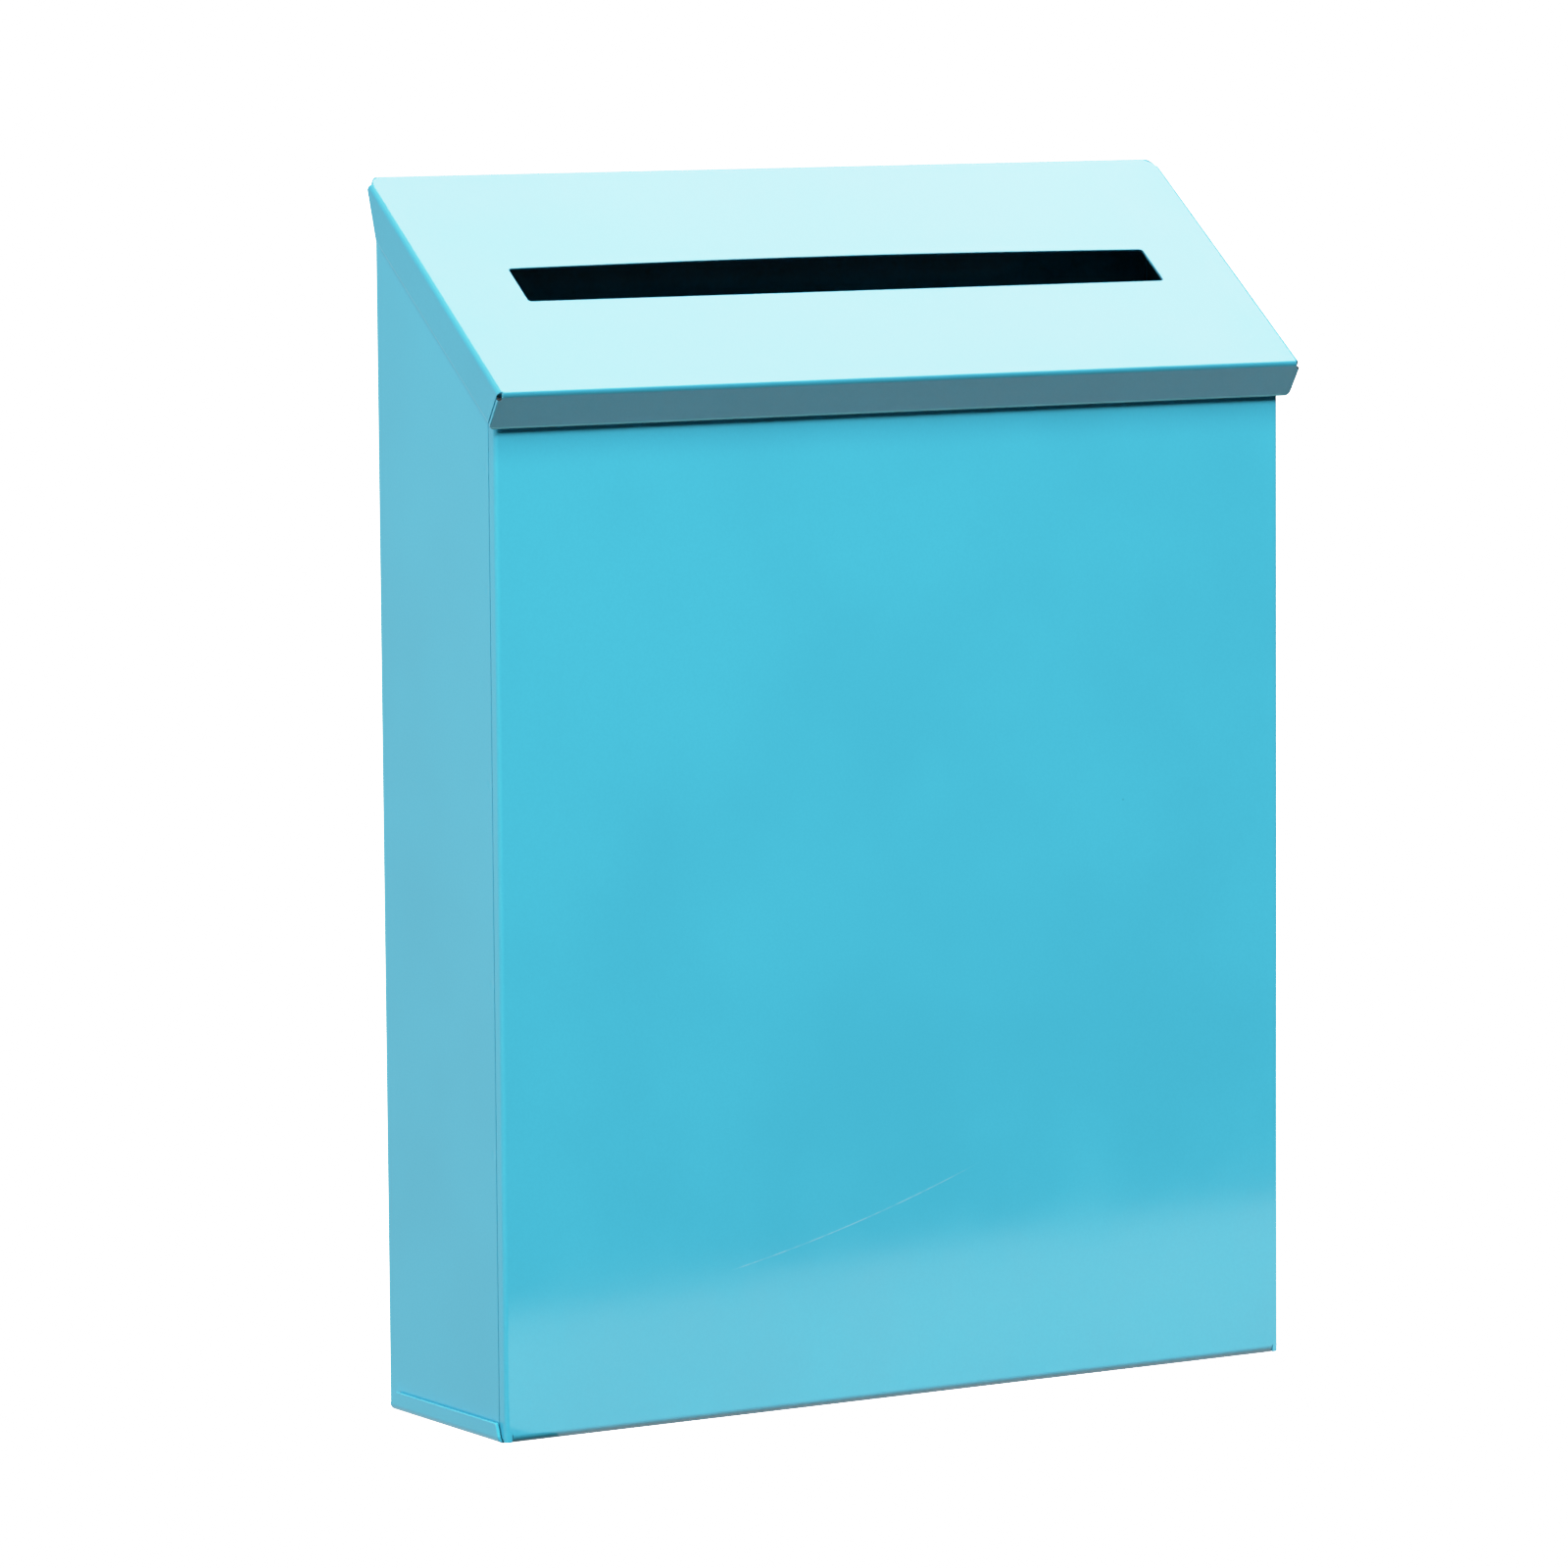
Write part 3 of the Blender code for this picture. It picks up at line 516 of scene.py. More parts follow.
class Sheet:
    def __init__(self, thickness=SHEET):
        self.thickness = thickness
        self.mesh = bmesh.new()
        self.vertices = {}
        self.outward = None

    def vertex(self, place):
        """The vertex at this place, made only once, so that panels and bends share their edges."""
        key = tuple(round(c / MM, 4) for c in place)
        if key not in self.vertices:
            self.vertices[key] = self.mesh.verts.new(place)
        return self.vertices[key]

    def panel(self, outline, outward, holes=()):
        """A flat stretch of sheet, whose outer face looks outward."""
        loops = [[self.vertex(p) for p in loop] for loop in (outline, *holes)]
        if holes:
            edges = [
                self.mesh.edges.get(pair) or self.mesh.edges.new(pair)
                for loop in loops
                for pair in zip(loop, loop[1:] + loop[:1])
            ]
            made = bmesh.ops.triangle_fill(self.mesh, edges=edges, use_beauty=True)["geom"]
            face = next(part for part in made if isinstance(part, bmesh.types.BMFace))
        else:
            face = self.mesh.faces.new(loops[0])
        if self.outward is None:
            face.normal_update()
            self.outward = (face.calc_center_median(), outward)

    def fold(self, start, end, out, inward, steps):
        """Runs the sheet on from the edge start-end, out in the panel's plane and inward to the inner side.

        A step is ("bend", inner radius, angle), which turns inward if its angle is positive,
        ("crease", angle) for a sharp bend, or ("flat", length, start inset, end inset).
        """
        row = [Vector(start), Vector(end)]
        lengthwise = (row[1] - row[0]).normalized()
        for kind, size, *rest in steps:
            if kind == "crease":
                out, inward = turn_inward(out, inward, size)
                continue
            if kind == "flat":
                insets = rest or (0, 0)
                moved = [row[0] + lengthwise * insets[0], row[1] - lengthwise * insets[1]]
                row = self.add_row(row, [p + out * size for p in moved])
                continue
            angle = rest[0]
            radius = size + self.thickness if angle > 0 else size
            turn_side = inward if angle > 0 else -inward
            count = max(2, round(ARC_STEPS * abs(angle) / (math.pi / 2)))
            first = row
            for i in range(1, count + 1):
                turned = abs(angle) * i / count
                shift = out * radius * math.sin(turned) + turn_side * radius * (1 - math.cos(turned))
                row = self.add_row(row, [p + shift for p in first])
            out, inward = turn_inward(out, inward, angle)

    def add_row(self, row, next_row):
        corners = [row[0], row[1], next_row[1], next_row[0]]
        self.mesh.faces.new([self.vertex(p) for p in corners])
        return next_row

    def ring(self, inner, outer):
        """Joins two outlines that have the same number of points."""
        count = len(inner)
        for i in range(count):
            j = (i + 1) % count
            corners = [inner[i], inner[j], outer[j], outer[i]]
            self.mesh.faces.new([self.vertex(p) for p in corners])

    def face_out(self):
        """Turns every face so that it looks to the sheet's outer side."""
        bmesh.ops.recalc_face_normals(self.mesh, faces=self.mesh.faces[:])
        middle, outward = self.outward
        face = min(self.mesh.faces, key=lambda f: (f.calc_center_median() - middle).length)
        if face.normal.dot(outward) < 0:
            bmesh.ops.reverse_faces(self.mesh, faces=self.mesh.faces[:])
        self.mesh.normal_update()

    def cut(self, direction, places):
        """Cuts the whole sheet along planes at these distances from the origin."""
        for place in places:
            parts = self.mesh.verts[:] + self.mesh.edges[:] + self.mesh.faces[:]
            bmesh.ops.bisect_plane(
                self.mesh, geom=parts, dist=0.002 * MM, plane_co=direction * place, plane_no=direction
            )

    def shape(self, rise):
        """Moves each vertex along its normal by rise(place)."""
        self.face_out()
        moves = [(v, v.normal * rise(v.co)) for v in self.mesh.verts]
        for vertex, move in moves:
            vertex.co += move

    def finish(self, name, material, body, slot, replaced, rounding=CUT_EDGE):
        self.face_out()
        piece = show(name, self.mesh, material, body, replaced)
        solidify = piece.modifiers.new("thickness", "SOLIDIFY")
        solidify.thickness = self.thickness
        solidify.offset = -1
        solidify.use_even_offset = True
        soften(piece, rounding)
        return piece


def steps_between(low, high, size):
    """Evenly spaced places between low and high, about size apart."""
    count = max(1, round((high - low) / size))
    return [low + (high - low) * i / count for i in range(1, count)]


def hump(value, low, high):
    """0 at low and high, 1 midway between them."""
    return max(0.0, math.sin(math.pi * (value - low) / (high - low)))


def front_waviness(place):
    """The front bows out a little and has one long, shallow ripple."""
    if place.y > front_y + 0.1 * MM or abs(place.x) > half_body - OUTER_BEND:
        return 0.0
    across = hump(place.x, -half_body + OUTER_BEND, half_body - OUTER_BEND)
    upwards = hump(place.z, 2.5 * MM, front_top - OUTER_BEND)
    ripple = math.sin(place.x / 0.043 + 1.3) * math.sin(place.z / 0.061 + 0.4)
    return across * upwards * (0.25 + 0.06 * ripple) * MM


def side_waviness(place):
    """Spot-weld dishes near the front edge and a slight ripple between them."""
    if abs(place.x) < half_body - 0.01 * MM:
        return 0.0
    weld_y = side_front_y + WELD_BEHIND_SEAM
    dish = sum(bump_of(math.hypot(place.y - weld_y, place.z - z), WELD_RADIUS) for z in WELD_HEIGHTS)
    across = hump(place.y, side_front_y, rear_y - OUTER_BEND)
    upwards = hump(place.z, 1.3 * MM, height_under_lid(place.y))
    ripple = math.sin(place.z / 0.029 + place.y / 0.05)
    return -WELD_DEPTH * dish + across * upwards * (0.07 * ripple - 0.10) * MM


def make_front_and_floor():
    sheet = Sheet()
    floor_outer_bend = FLOOR_BEND + SHEET
    tab_edge = half_body + GAP + SHEET - OUTER_BEND
    floor_front = front_y + floor_outer_bend
    floor_rear = back_y - SHEET - GAP - OUTER_BEND
    tab_front = front_y + TAB_FRONT_SETBACK
    tab_rear = rear_y - TAB_REAR_SETBACK
    rear_flange_end = half_body - SIDE_FLANGE / 2
    return_edge = half_body - RETURN_OUTER_BEND
    tongue_edge = return_edge - CORNER_TONGUE
    bend_end = tongue_edge - CORNER_SLIT
    floor = [
        (-tab_edge, tab_front),
        (-tab_edge, tab_rear),
        (-rear_flange_end, floor_rear),
        (rear_flange_end, floor_rear),
        (tab_edge, tab_rear),
        (tab_edge, tab_front),
        (bend_end, floor_front),
        (-bend_end, floor_front),
    ]
    sheet.panel([Vector((x, y, 0)) for x, y in floor], -Z)
    right_angle = math.pi / 2
    bend = ("bend", INSIDE_BEND, right_angle)
    tab = ("flat", FLOOR_TAB - OUTER_BEND, TAB_REAR_SLANT, TAB_SLANT)
    for side in (-1, 1):
        start = Vector((side * tab_edge, tab_rear, 0))
        end = Vector((side * tab_edge, tab_front, 0))
        sheet.fold(start, end, side * X, Z, [bend, tab])
    start = Vector((-rear_flange_end, floor_rear, 0))
    end = Vector((rear_flange_end, floor_rear, 0))
    sheet.fold(start, end, Y, Z, [bend, ("flat", FLOOR_REAR_FLANGE - OUTER_BEND)])
    start = Vector((-bend_end, floor_front, 0))
    end = Vector((bend_end, floor_front, 0))
    sheet.fold(start, end, -Y, Z, [("bend", FLOOR_BEND, right_angle)])
    return_top = front_top - OUTER_BEND
    lip_end = return_edge - 2 * OUTER_BEND
    front = [
        (-bend_end, floor_outer_bend),
        (bend_end, floor_outer_bend),
        (tongue_edge, floor_outer_bend),
        (tongue_edge, CORNER_FOOT),
        (return_edge, CORNER_FOOT),
        (return_edge, return_top - OUTER_BEND),
        (lip_end, return_top),
        (-lip_end, return_top),
        (-return_edge, return_top - OUTER_BEND),
        (-return_edge, CORNER_FOOT),
        (-tongue_edge, CORNER_FOOT),
        (-tongue_edge, floor_outer_bend),
    ]
    sheet.panel([Vector((x, front_y, z)) for x, z in front], -Y)
    start = Vector((-lip_end, front_y, return_top))
    end = Vector((lip_end, front_y, return_top))
    sheet.fold(start, end, Z, Y, [bend, ("flat", FRONT_LIP - OUTER_BEND)])
    depth = SHEET + GAP
    straight = side_front_y - SEAM - depth / math.tan(JOGGLE_TURN) - front_y - RETURN_OUTER_BEND
    joggle = [("crease", JOGGLE_TURN), ("flat", depth / math.sin(JOGGLE_TURN)), ("crease", -JOGGLE_TURN)]
    return_bend = ("bend", RETURN_BEND, right_angle)
    steps = [return_bend, ("flat", straight, straight, 0), *joggle, ("flat", RETURN_WIDTH)]
    for side in (-1, 1):
        start = Vector((side * return_edge, front_y, CORNER_FOOT))
        end = Vector((side * return_edge, front_y, return_top - OUTER_BEND))
        sheet.fold(start, end, side * X, Y, steps)
    sheet.cut(X, steps_between(-return_edge, return_edge, 9 * MM))
    sheet.cut(Z, steps_between(floor_outer_bend + OUTER_BEND, return_top, 9 * MM))
    sheet.shape(front_waviness)
    name = "front_and_floor_sheet"
    return sheet.finish(name, body_paint, "box", "body_paint", "front_and_floor_panel")


def make_side(side, side_name):
    sheet = Sheet()
    rear = rear_y - OUTER_BEND
    foot = SHEET + GAP
    corners = [
        (side_front_y, foot),
        (rear, foot),
        (rear, height_under_lid(rear, GAP)),
        (side_front_y, height_under_lid(side_front_y, GAP)),
    ]
    outline = [Vector((side * half_body, y, z)) for y, z in corners]
    sheet.panel(outline, side * X)
    flange = ("flat", SIDE_FLANGE - OUTER_BEND)
    sheet.fold(outline[1], outline[2], Y, -side * X, [("bend", INSIDE_BEND, math.pi / 2), flange])
    weld_y = side_front_y + WELD_BEHIND_SEAM
    reach = 2 * WELD_RADIUS
    sheet.cut(Y, steps_between(side_front_y, weld_y + reach, 0.6 * MM))
    sheet.cut(Y, steps_between(weld_y + reach, rear, 6 * MM))
    for z in WELD_HEIGHTS:
        sheet.cut(Z, steps_between(z - reach, z + reach, 0.6 * MM))
    sheet.cut(Z, steps_between(foot, corners[2][1], 7 * MM))
    sheet.shape(side_waviness)
    name = f"{side_name}_side_sheet"
    return sheet.finish(name, body_paint, "box", "body_paint", f"{side_name}_side_panel")


def keyhole():
    """A round opening for a screw's head, with a narrow slot above it."""
    half_mouth = math.asin(KEYHOLE_SLOT_RADIUS / KEYHOLE_HEAD_RADIUS)
    up = math.pi / 2
    last = up + 2 * math.pi - half_mouth
    head = arc((0, -KEYHOLE_DROP), KEYHOLE_HEAD_RADIUS, up + half_mouth, last, 36)
    slot = arc((0, KEYHOLE_RISE - KEYHOLE_DROP), KEYHOLE_SLOT_RADIUS, 0, math.pi, 18)
    return head + slot


def boss_profile():
    """(radius, y) of a pressed boss, from the panel up to its flat top, with a rounded foot and brow."""
    rise = boss_y - back_y
    slope = math.atan2(rise, BOSS_BASE_RADIUS - BOSS_TOP_RADIUS)
    radius = 2.0 * MM
    reach = radius * math.tan(slope / 2)
    foot = [
        (BOSS_BASE_RADIUS + reach - radius * math.sin(t), back_y + radius * (1 - math.cos(t)))
        for t in [slope * i / 5 for i in range(6)]
    ]
    brow = [
        (BOSS_TOP_RADIUS - reach + radius * math.sin(t), boss_y - radius * (1 - math.cos(t)))
        for t in [slope * (1 - i / 5) for i in range(6)]
    ]
    rim = [(foot[0][0] + 1.5 * MM, back_y)]
    return rim + foot + brow


def fastener_xs(centre):
    return [("a", centre - FASTENER_SPACING / 2), ("b", centre + FASTENER_SPACING / 2)]


def hinge_centre(side_name):
    low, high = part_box(f"{side_name}_hinge_lid_leaf")
    return (low.x + high.x) / 2


def make_back():
    sheet = Sheet()
    holes = []
    for boss_z, opening in (
        (UPPER_BOSS_HEIGHT, keyhole()),
        (LOWER_BOSS_HEIGHT, circle((0, 0), KEYHOLE_SLOT_RADIUS, 24)),
    ):
        for boss_x in (-BOSS_SPREAD / 2, BOSS_SPREAD / 2):
            rings = [
                [Vector((x, y, z)) for x, z in circle((boss_x, boss_z), radius)]
                for radius, y in boss_profile()
            ]
            for low, high in zip(rings, rings[1:]):
                sheet.ring(low, high)
            hole = [Vector((boss_x + x, boss_y, boss_z + z)) for x, z in opening]
            sheet.panel(rings[-1], Y, [hole])
            holes.append(rings[0])
    rivet_z = hinge_axis.z - FASTENER_REACH
    for side_name in ("left", "right"):
        for _, x in fastener_xs(hinge_centre(side_name)):
            hole = circle((x, rivet_z), RIVET_RADIUS + GAP, 24)
            holes.append([Vector((hole_x, back_y, hole_z)) for hole_x, hole_z in hole])
    foot_corners = [(-back_half, back_foot), (back_half, back_foot)]
    top_corners = [(back_half, back_top), (-back_half, back_top)]
    sheet.panel([Vector((x, back_y, z)) for x, z in foot_corners + top_corners], Y, holes)
    return sheet.finish("back_sheet", body_paint, "box", "body_paint", "back_panel")


def slot_outline(grow=0.0):
    """The slot's outline on the lid, as (across, along), with a bowed rear edge, grown outwards."""
    half = SLOT_WIDTH / 2 + grow
    corner = SLOT_CORNER + grow
    near, far = SLOT_START - grow, SLOT_START + SLOT_HEIGHT + grow
    straight = 2 * half - 2 * corner
    count = 24
    rear_edge = [
        (-half + corner + straight * i / count, near - SLOT_ARCH * math.sin(math.pi * i / count))
        for i in range(1, count)
    ]
    quarter = math.pi / 2
    return [
        *arc((-half + corner, near + corner), corner, 2 * quarter, 3 * quarter, 6),
        *rear_edge,
        *arc((half - corner, near + corner), corner, 3 * quarter, 4 * quarter, 6),
        *arc((half - corner, far - corner), corner, 0, quarter, 6),
        *arc((-half + corner, far - corner), corner, quarter, 2 * quarter, 6),
    ]


def make_lid():
    sheet = Sheet()
    edge = half_lid - LID_OUTER_BEND
    side_rear = LID_REAR_SETBACK + LID_CORNER
    half_turn = math.pi
    outline = [
        *arc((-edge + LID_CORNER, side_rear), LID_CORNER, half_turn, 1.5 * half_turn, ARC_STEPS),
        *arc((edge - LID_CORNER, side_rear), LID_CORNER, 1.5 * half_turn, 2 * half_turn, ARC_STEPS),
        (edge, lid_front),
        (-edge, lid_front),
    ]
    turns = [math.pi / 2 * i / 6 for i in range(7)]
    rolls = [(SLOT_ROLL * (1 - math.sin(t)), SLOT_SINK * (1 - math.cos(t))) for t in turns]
    rings = [[lid_point(x, along, -sink) for x, along in slot_outline(grow)] for grow, sink in rolls]
    for high, low in zip(rings, rings[1:]):
        sheet.ring(high, low)
    sheet.panel([lid_point(x, along) for x, along in outline], LID_NORMAL, [rings[0]])

    def seam_reach(depth):
        """How far past the plate's front edge a side flange's end may come at this depth."""
        past_bend = depth - LID_OUTER_BEND + LID_INSIDE_BEND * math.cos(lid_front_turn)
        slanting = past_bend / math.tan(lid_front_turn)
        return LID_INSIDE_BEND * math.sin(lid_front_turn) + slanting - LID_SEAM

    first_reach = seam_reach(LID_OUTER_BEND + LID_NOTCH)
    last_reach = seam_reach(LID_SIDE_FLANGE)
    side_flange = LID_SIDE_FLANGE - LID_OUTER_BEND - LID_NOTCH
    steps = [
        ("bend", LID_INSIDE_BEND, math.pi / 2),
        ("flat", LID_NOTCH, 0, -first_reach),
        ("flat", side_flange, LID_SIDE_FLANGE_SLANT, first_reach - last_reach),
    ]
    for side in (-1, 1):
        start = lid_point(side * edge, side_rear)
        end = lid_point(side * edge, lid_front)
        sheet.fold(start, end, side * X, -LID_NORMAL, steps)
    widen = ("flat", LID_NOTCH, -LID_OUTER_BEND, -LID_OUTER_BEND)
    straight = ("flat", LID_FRONT_FLANGE - flange_tangent - LID_NOTCH - LID_FRONT_CORNER)
    angles = [math.pi / 2 * i / 6 for i in range(7)]
    rounded = [
        (
            "flat",
            LID_FRONT_CORNER * (math.sin(b) - math.sin(a)),
            LID_FRONT_CORNER * (math.cos(a) - math.cos(b)),
            LID_FRONT_CORNER * (math.cos(a) - math.cos(b)),
        )
        for a, b in zip(angles, angles[1:])
    ]
    steps = [("bend", LID_INSIDE_BEND, lid_front_turn), widen, straight, *rounded]
    sheet.fold(lid_point(-edge, lid_front), lid_point(edge, lid_front), DOWN_SLOPE, -LID_NORMAL, steps)
    return sheet.finish("lid_sheet", lid_paint, "lid_assembly", "lid_paint", "lid")


def make_leaf(node, centre, half, at, out, inward, outer_knuckles, body):
    """A hinge leaf: at(x, reach) is a place on its outer face, reach being its distance from the axis."""
    sheet = Sheet(LEAF)
    inner = half / 3
    clear = KNUCKLE_RADIUS + 2 * GAP
    if outer_knuckles:
        knuckles = [(-half, -inner - GAP), (inner + GAP, half)]
        edge = [(-half, 0), (-inner - GAP, 0), (-inner - GAP, clear)]
        edge += [(inner + GAP, clear), (inner + GAP, 0), (half, 0)]
    else:
        knuckles = [(-inner, inner)]
        edge = [(-half, clear), (-inner, clear), (-inner, 0), (inner, 0), (inner, clear), (half, clear)]
    corner = 2.0 * MM
    reach = LEAF_REACH - corner
    quarter = math.pi / 2
    far = arc((half - corner, reach), corner, 0, quarter, 8)
    far += arc((-half + corner, reach), corner, quarter, 2 * quarter, 8)
    hole_radius = (RIVET_RADIUS if outer_knuckles else STUD_RADIUS) + GAP
    holes = [
        [at(x, r) for x, r in circle((hole_x, FASTENER_REACH), hole_radius, 24)]
        for _, hole_x in fastener_xs(centre)
    ]
    sheet.panel([at(centre + x, r) for x, r in [*edge, *far]], -inward, holes)
    for low, high in knuckles:
        curl = [("bend", KNUCKLE_RADIUS - LEAF, KNUCKLE_TURN)]
        sheet.fold(at(centre + low, 0), at(centre + high, 0), out, inward, curl)
    return sheet.finish(node + "_formed", zinc, body, "zinc_plated_steel", node, 0.12 * MM)


def turned(name, profile, base, axis, material, body, slot, node, sides=32):
    """A solid of revolution: profile holds (radius, height along axis), from one end to the other."""
    across = axis.orthogonal().normalized()
    beside = axis.cross(across)
    mesh = bmesh.new()
    rings = []
    for radius, height in profile:
        turns = [2 * math.pi * i / sides for i in range(sides)]
        spokes = [across * math.cos(t) + beside * math.sin(t) for t in turns]
        rings.append([mesh.verts.new(base + axis * height + spoke * radius) for spoke in spokes])
    for low, high in zip(rings, rings[1:]):
        for i in range(sides):
            j = (i + 1) % sides
            mesh.faces.new((low[i], low[j], high[j], high[i]))
    mesh.faces.new(rings[0][::-1])
    mesh.faces.new(rings[-1])
    bmesh.ops.recalc_face_normals(mesh, faces=mesh.faces[:])
    piece = show(name, mesh, material, body, node)
    piece.data.set_sharp_from_angle(angle=math.radians(40))
    soften(piece, 0)
    return piece


def make_hinge(side_name):
    low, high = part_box(f"{side_name}_hinge_body_leaf")
    centre, half = (low.x + high.x) / 2, (high.x - low.x) / 2
    leaf_y = hinge_axis.y - KNUCKLE_RADIUS

    def on_body(x, reach):
        return Vector((x, leaf_y, hinge_axis.z - reach))

    def on_lid(x, reach):
        return lid_point(x, hinge_along + reach, -SHEET - GAP)

    name = side_name + "_hinge_"
    make_leaf(name + "body_leaf", centre, half, on_body, Z, Y, True, "box")
    make_leaf(name + "lid_leaf", centre, half, on_lid, -DOWN_SLOPE, -LID_NORMAL, False, "lid_assembly")
    low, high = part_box(name + "pin")
    length, radius = high.x - low.x, (high.z - low.z) / 2
    chamfer = radius / 4
    profile = [(radius - chamfer, 0), (radius, chamfer)]
    profile += [(radius, length - chamfer), (radius - chamfer, length)]
    base = Vector((low.x, hinge_axis.y, hinge_axis.z))
    turned(name + "pin_turned", profile, base, X, zinc, "box", "zinc_plated_steel", name + "pin", 24)


def make_rivets(side_name):
    """Blind rivets: a domed head with the broken stem in its middle at the rear, a bulged tail inside."""
    head_seat = LEAF + GAP
    tail_seat = -(GAP + SHEET + GAP)
    tail_end = tail_seat - RIVET_TAIL_HEIGHT
    neck = RIVET_TAIL_RADIUS / 3
    neck_turns = [math.pi / 2 * i / 5 for i in range(6)]
    tail = [
        (RIVET_TAIL_RADIUS - neck * (1 - math.sin(t)), tail_end + neck * (1 - math.cos(t)))
        for t in neck_turns
    ]
    rim = math.acos(MANDREL_RADIUS / RIVET_HEAD_RADIUS)
    dome = [
        (RIVET_HEAD_RADIUS * math.cos(t), head_seat + RIVET_HEAD_HEIGHT * math.sin(t))
        for t in [rim * i / 8 for i in range(9)]
    ]
    well = dome[-1][1] - 0.5 * MM
    profile = [
        *tail,
        (RIVET_TAIL_RADIUS, tail_seat),
        (RIVET_RADIUS, tail_seat),
        (RIVET_RADIUS, head_seat),
        *dome,
        (MANDREL_RADIUS - 0.1 * MM, well),
        (MANDREL_RADIUS - 0.3 * MM, well),
        (MANDREL_RADIUS - 0.35 * MM, well + 0.2 * MM),
    ]
    for letter, x in fastener_xs(hinge_centre(side_name)):
        node = f"{side_name}_hinge_rivet_{letter}"
        base = Vector((x, back_y + GAP, hinge_axis.z - FASTENER_REACH))
        turned(node + "_set", profile, base, Y, aluminium, "box", "rivet_aluminium", node)


def make_studs_and_nuts(side_name):
    """Threaded weld studs under the lid plate, and hexagon nuts with chamfered corners."""
    leaf_top = SHEET + GAP
    nut_top = leaf_top + LEAF + GAP
    nut_end = nut_top + NUT_HEIGHT
    stud_end = nut_end + STUD_PAST_NUT
    thread_start = leaf_top + LEAF
    turns = int((stud_end - thread_start - THREAD_PITCH) / THREAD_PITCH)
    profile = [(STUD_RADIUS, leaf_top), (STUD_RADIUS, thread_start)]
    for i in range(turns):
        crest = thread_start + THREAD_PITCH * i
        profile.append((STUD_RADIUS - THREAD_DEPTH, crest + THREAD_PITCH * 0.45))
        profile.append((STUD_RADIUS - THREAD_DEPTH, crest + THREAD_PITCH * 0.55))
        profile.append((STUD_RADIUS, crest + THREAD_PITCH * 0.95))
        profile.append((STUD_RADIUS, crest + THREAD_PITCH))
    profile.append((STUD_RADIUS - THREAD_DEPTH, stud_end - 0.1 * MM))
    profile.append((STUD_RADIUS - 1.4 * THREAD_DEPTH, stud_end))
    corner = NUT_ACROSS_FLATS / math.sqrt(3)
    bore = STUD_RADIUS + GAP
    for letter, x in fastener_xs(hinge_centre(side_name)):
        along = hinge_along + FASTENER_REACH
        node = f"{side_name}_lid_stud_{letter}"
        base = lid_point(x, along)
        slot = "zinc_plated_steel"
        turned(node + "_threaded", profile, base, -LID_NORMAL, zinc, "lid_assembly", slot, node, 24)
        node = f"{side_name}_lid_nut_{letter}"
        mesh = bmesh.new()
        sides = 48
        rings = []
        for depth, chamfered, inner in (
            (nut_top, True, False),
            (nut_top + 0.3 * MM, False, False),
            (nut_end - 0.3 * MM, False, False),
            (nut_end, True, False),
            (nut_end, False, True),
            (nut_top, False, True),
        ):
            ring = []
            for i in range(sides):
                turn = 2 * math.pi * i / sides
                flat = NUT_ACROSS_FLATS / 2 / math.cos((turn % (math.pi / 3)) - math.pi / 6)
                radius = bore if inner else min(flat, NUT_ACROSS_FLATS / 2 * 0.98) if chamfered else flat
                radius = min(radius, corner)
                place = lid_point(x + radius * math.cos(turn), along + radius * math.sin(turn), -depth)
                ring.append(mesh.verts.new(place))
            rings.append(ring)
        for low, high in zip(rings, rings[1:] + rings[:1]):
            for i in range(sides):
                j = (i + 1) % sides
                mesh.faces.new((low[i], low[j], high[j], high[i]))
        bmesh.ops.recalc_face_normals(mesh, faces=mesh.faces[:])
        piece = show(node + "_hex", mesh, zinc, "lid_assembly", node)
        piece.data.set_sharp_from_angle(angle=math.radians(25))
        soften(piece, 0)


front_piece = make_front_and_floor()
side_pieces = [make_side(-1, "left"), make_side(1, "right")]
make_back()
lid_piece = make_lid()
for hinge_side in ("left", "right"):
    make_hinge(hinge_side)
    make_rivets(hinge_side)
    make_studs_and_nuts(hinge_side)


# ---------------------------------------------------------------- stage, light and camera

PAPER = (0.70, 0.70, 0.70)
FLOOR_DROP = 0.2 * MM
FLOOR_HALF = 60.0
FLOOR_GLOW = 3.0
TABLE_HALF = 0.50
TABLE_GLOW = 0.85
TABLE_TURN = math.radians(-10.6)
TABLE_PLACE = (0.44, 0.205)

BODY_MIDDLE = (0, 0, 0.17)
LID_MIDDLE = Vector((0, 0, 0.32))
GLARE = Vector((0.518, 0.125, 0.846))  # from here light glances off the lid into the camera
GLARE_DISTANCE = 1.5

WORLD_IN_FRONT = 0.02
WORLD_BEHIND = 0.90
WORLD_SEEN = 3.0  # by the camera
WORLD_FADE = (-0.3, 0.5)  # Y part of the directions between which it changes

CAMERA_AZIMUTH = math.radians(-31.384)
CAMERA_ELEVATION = math.radians(5.996)
CAMERA_ROLL = math.radians(-0.422)
CAMERA_DISTANCE = 2.2797
CAMERA_AIM_HEIGHT = 0.1708
CAMERA_ASIDE = 0.00255
CAMERA_LENS = 179.46
CAMERA_SENSOR = 36.0

FILM_SHOULDER = 0.6
FILM_WHITE = 3.0
FILM_POINTS = 16
FILM_SPREAD = 1.6  # sets the curve's points closer together near the shoulder


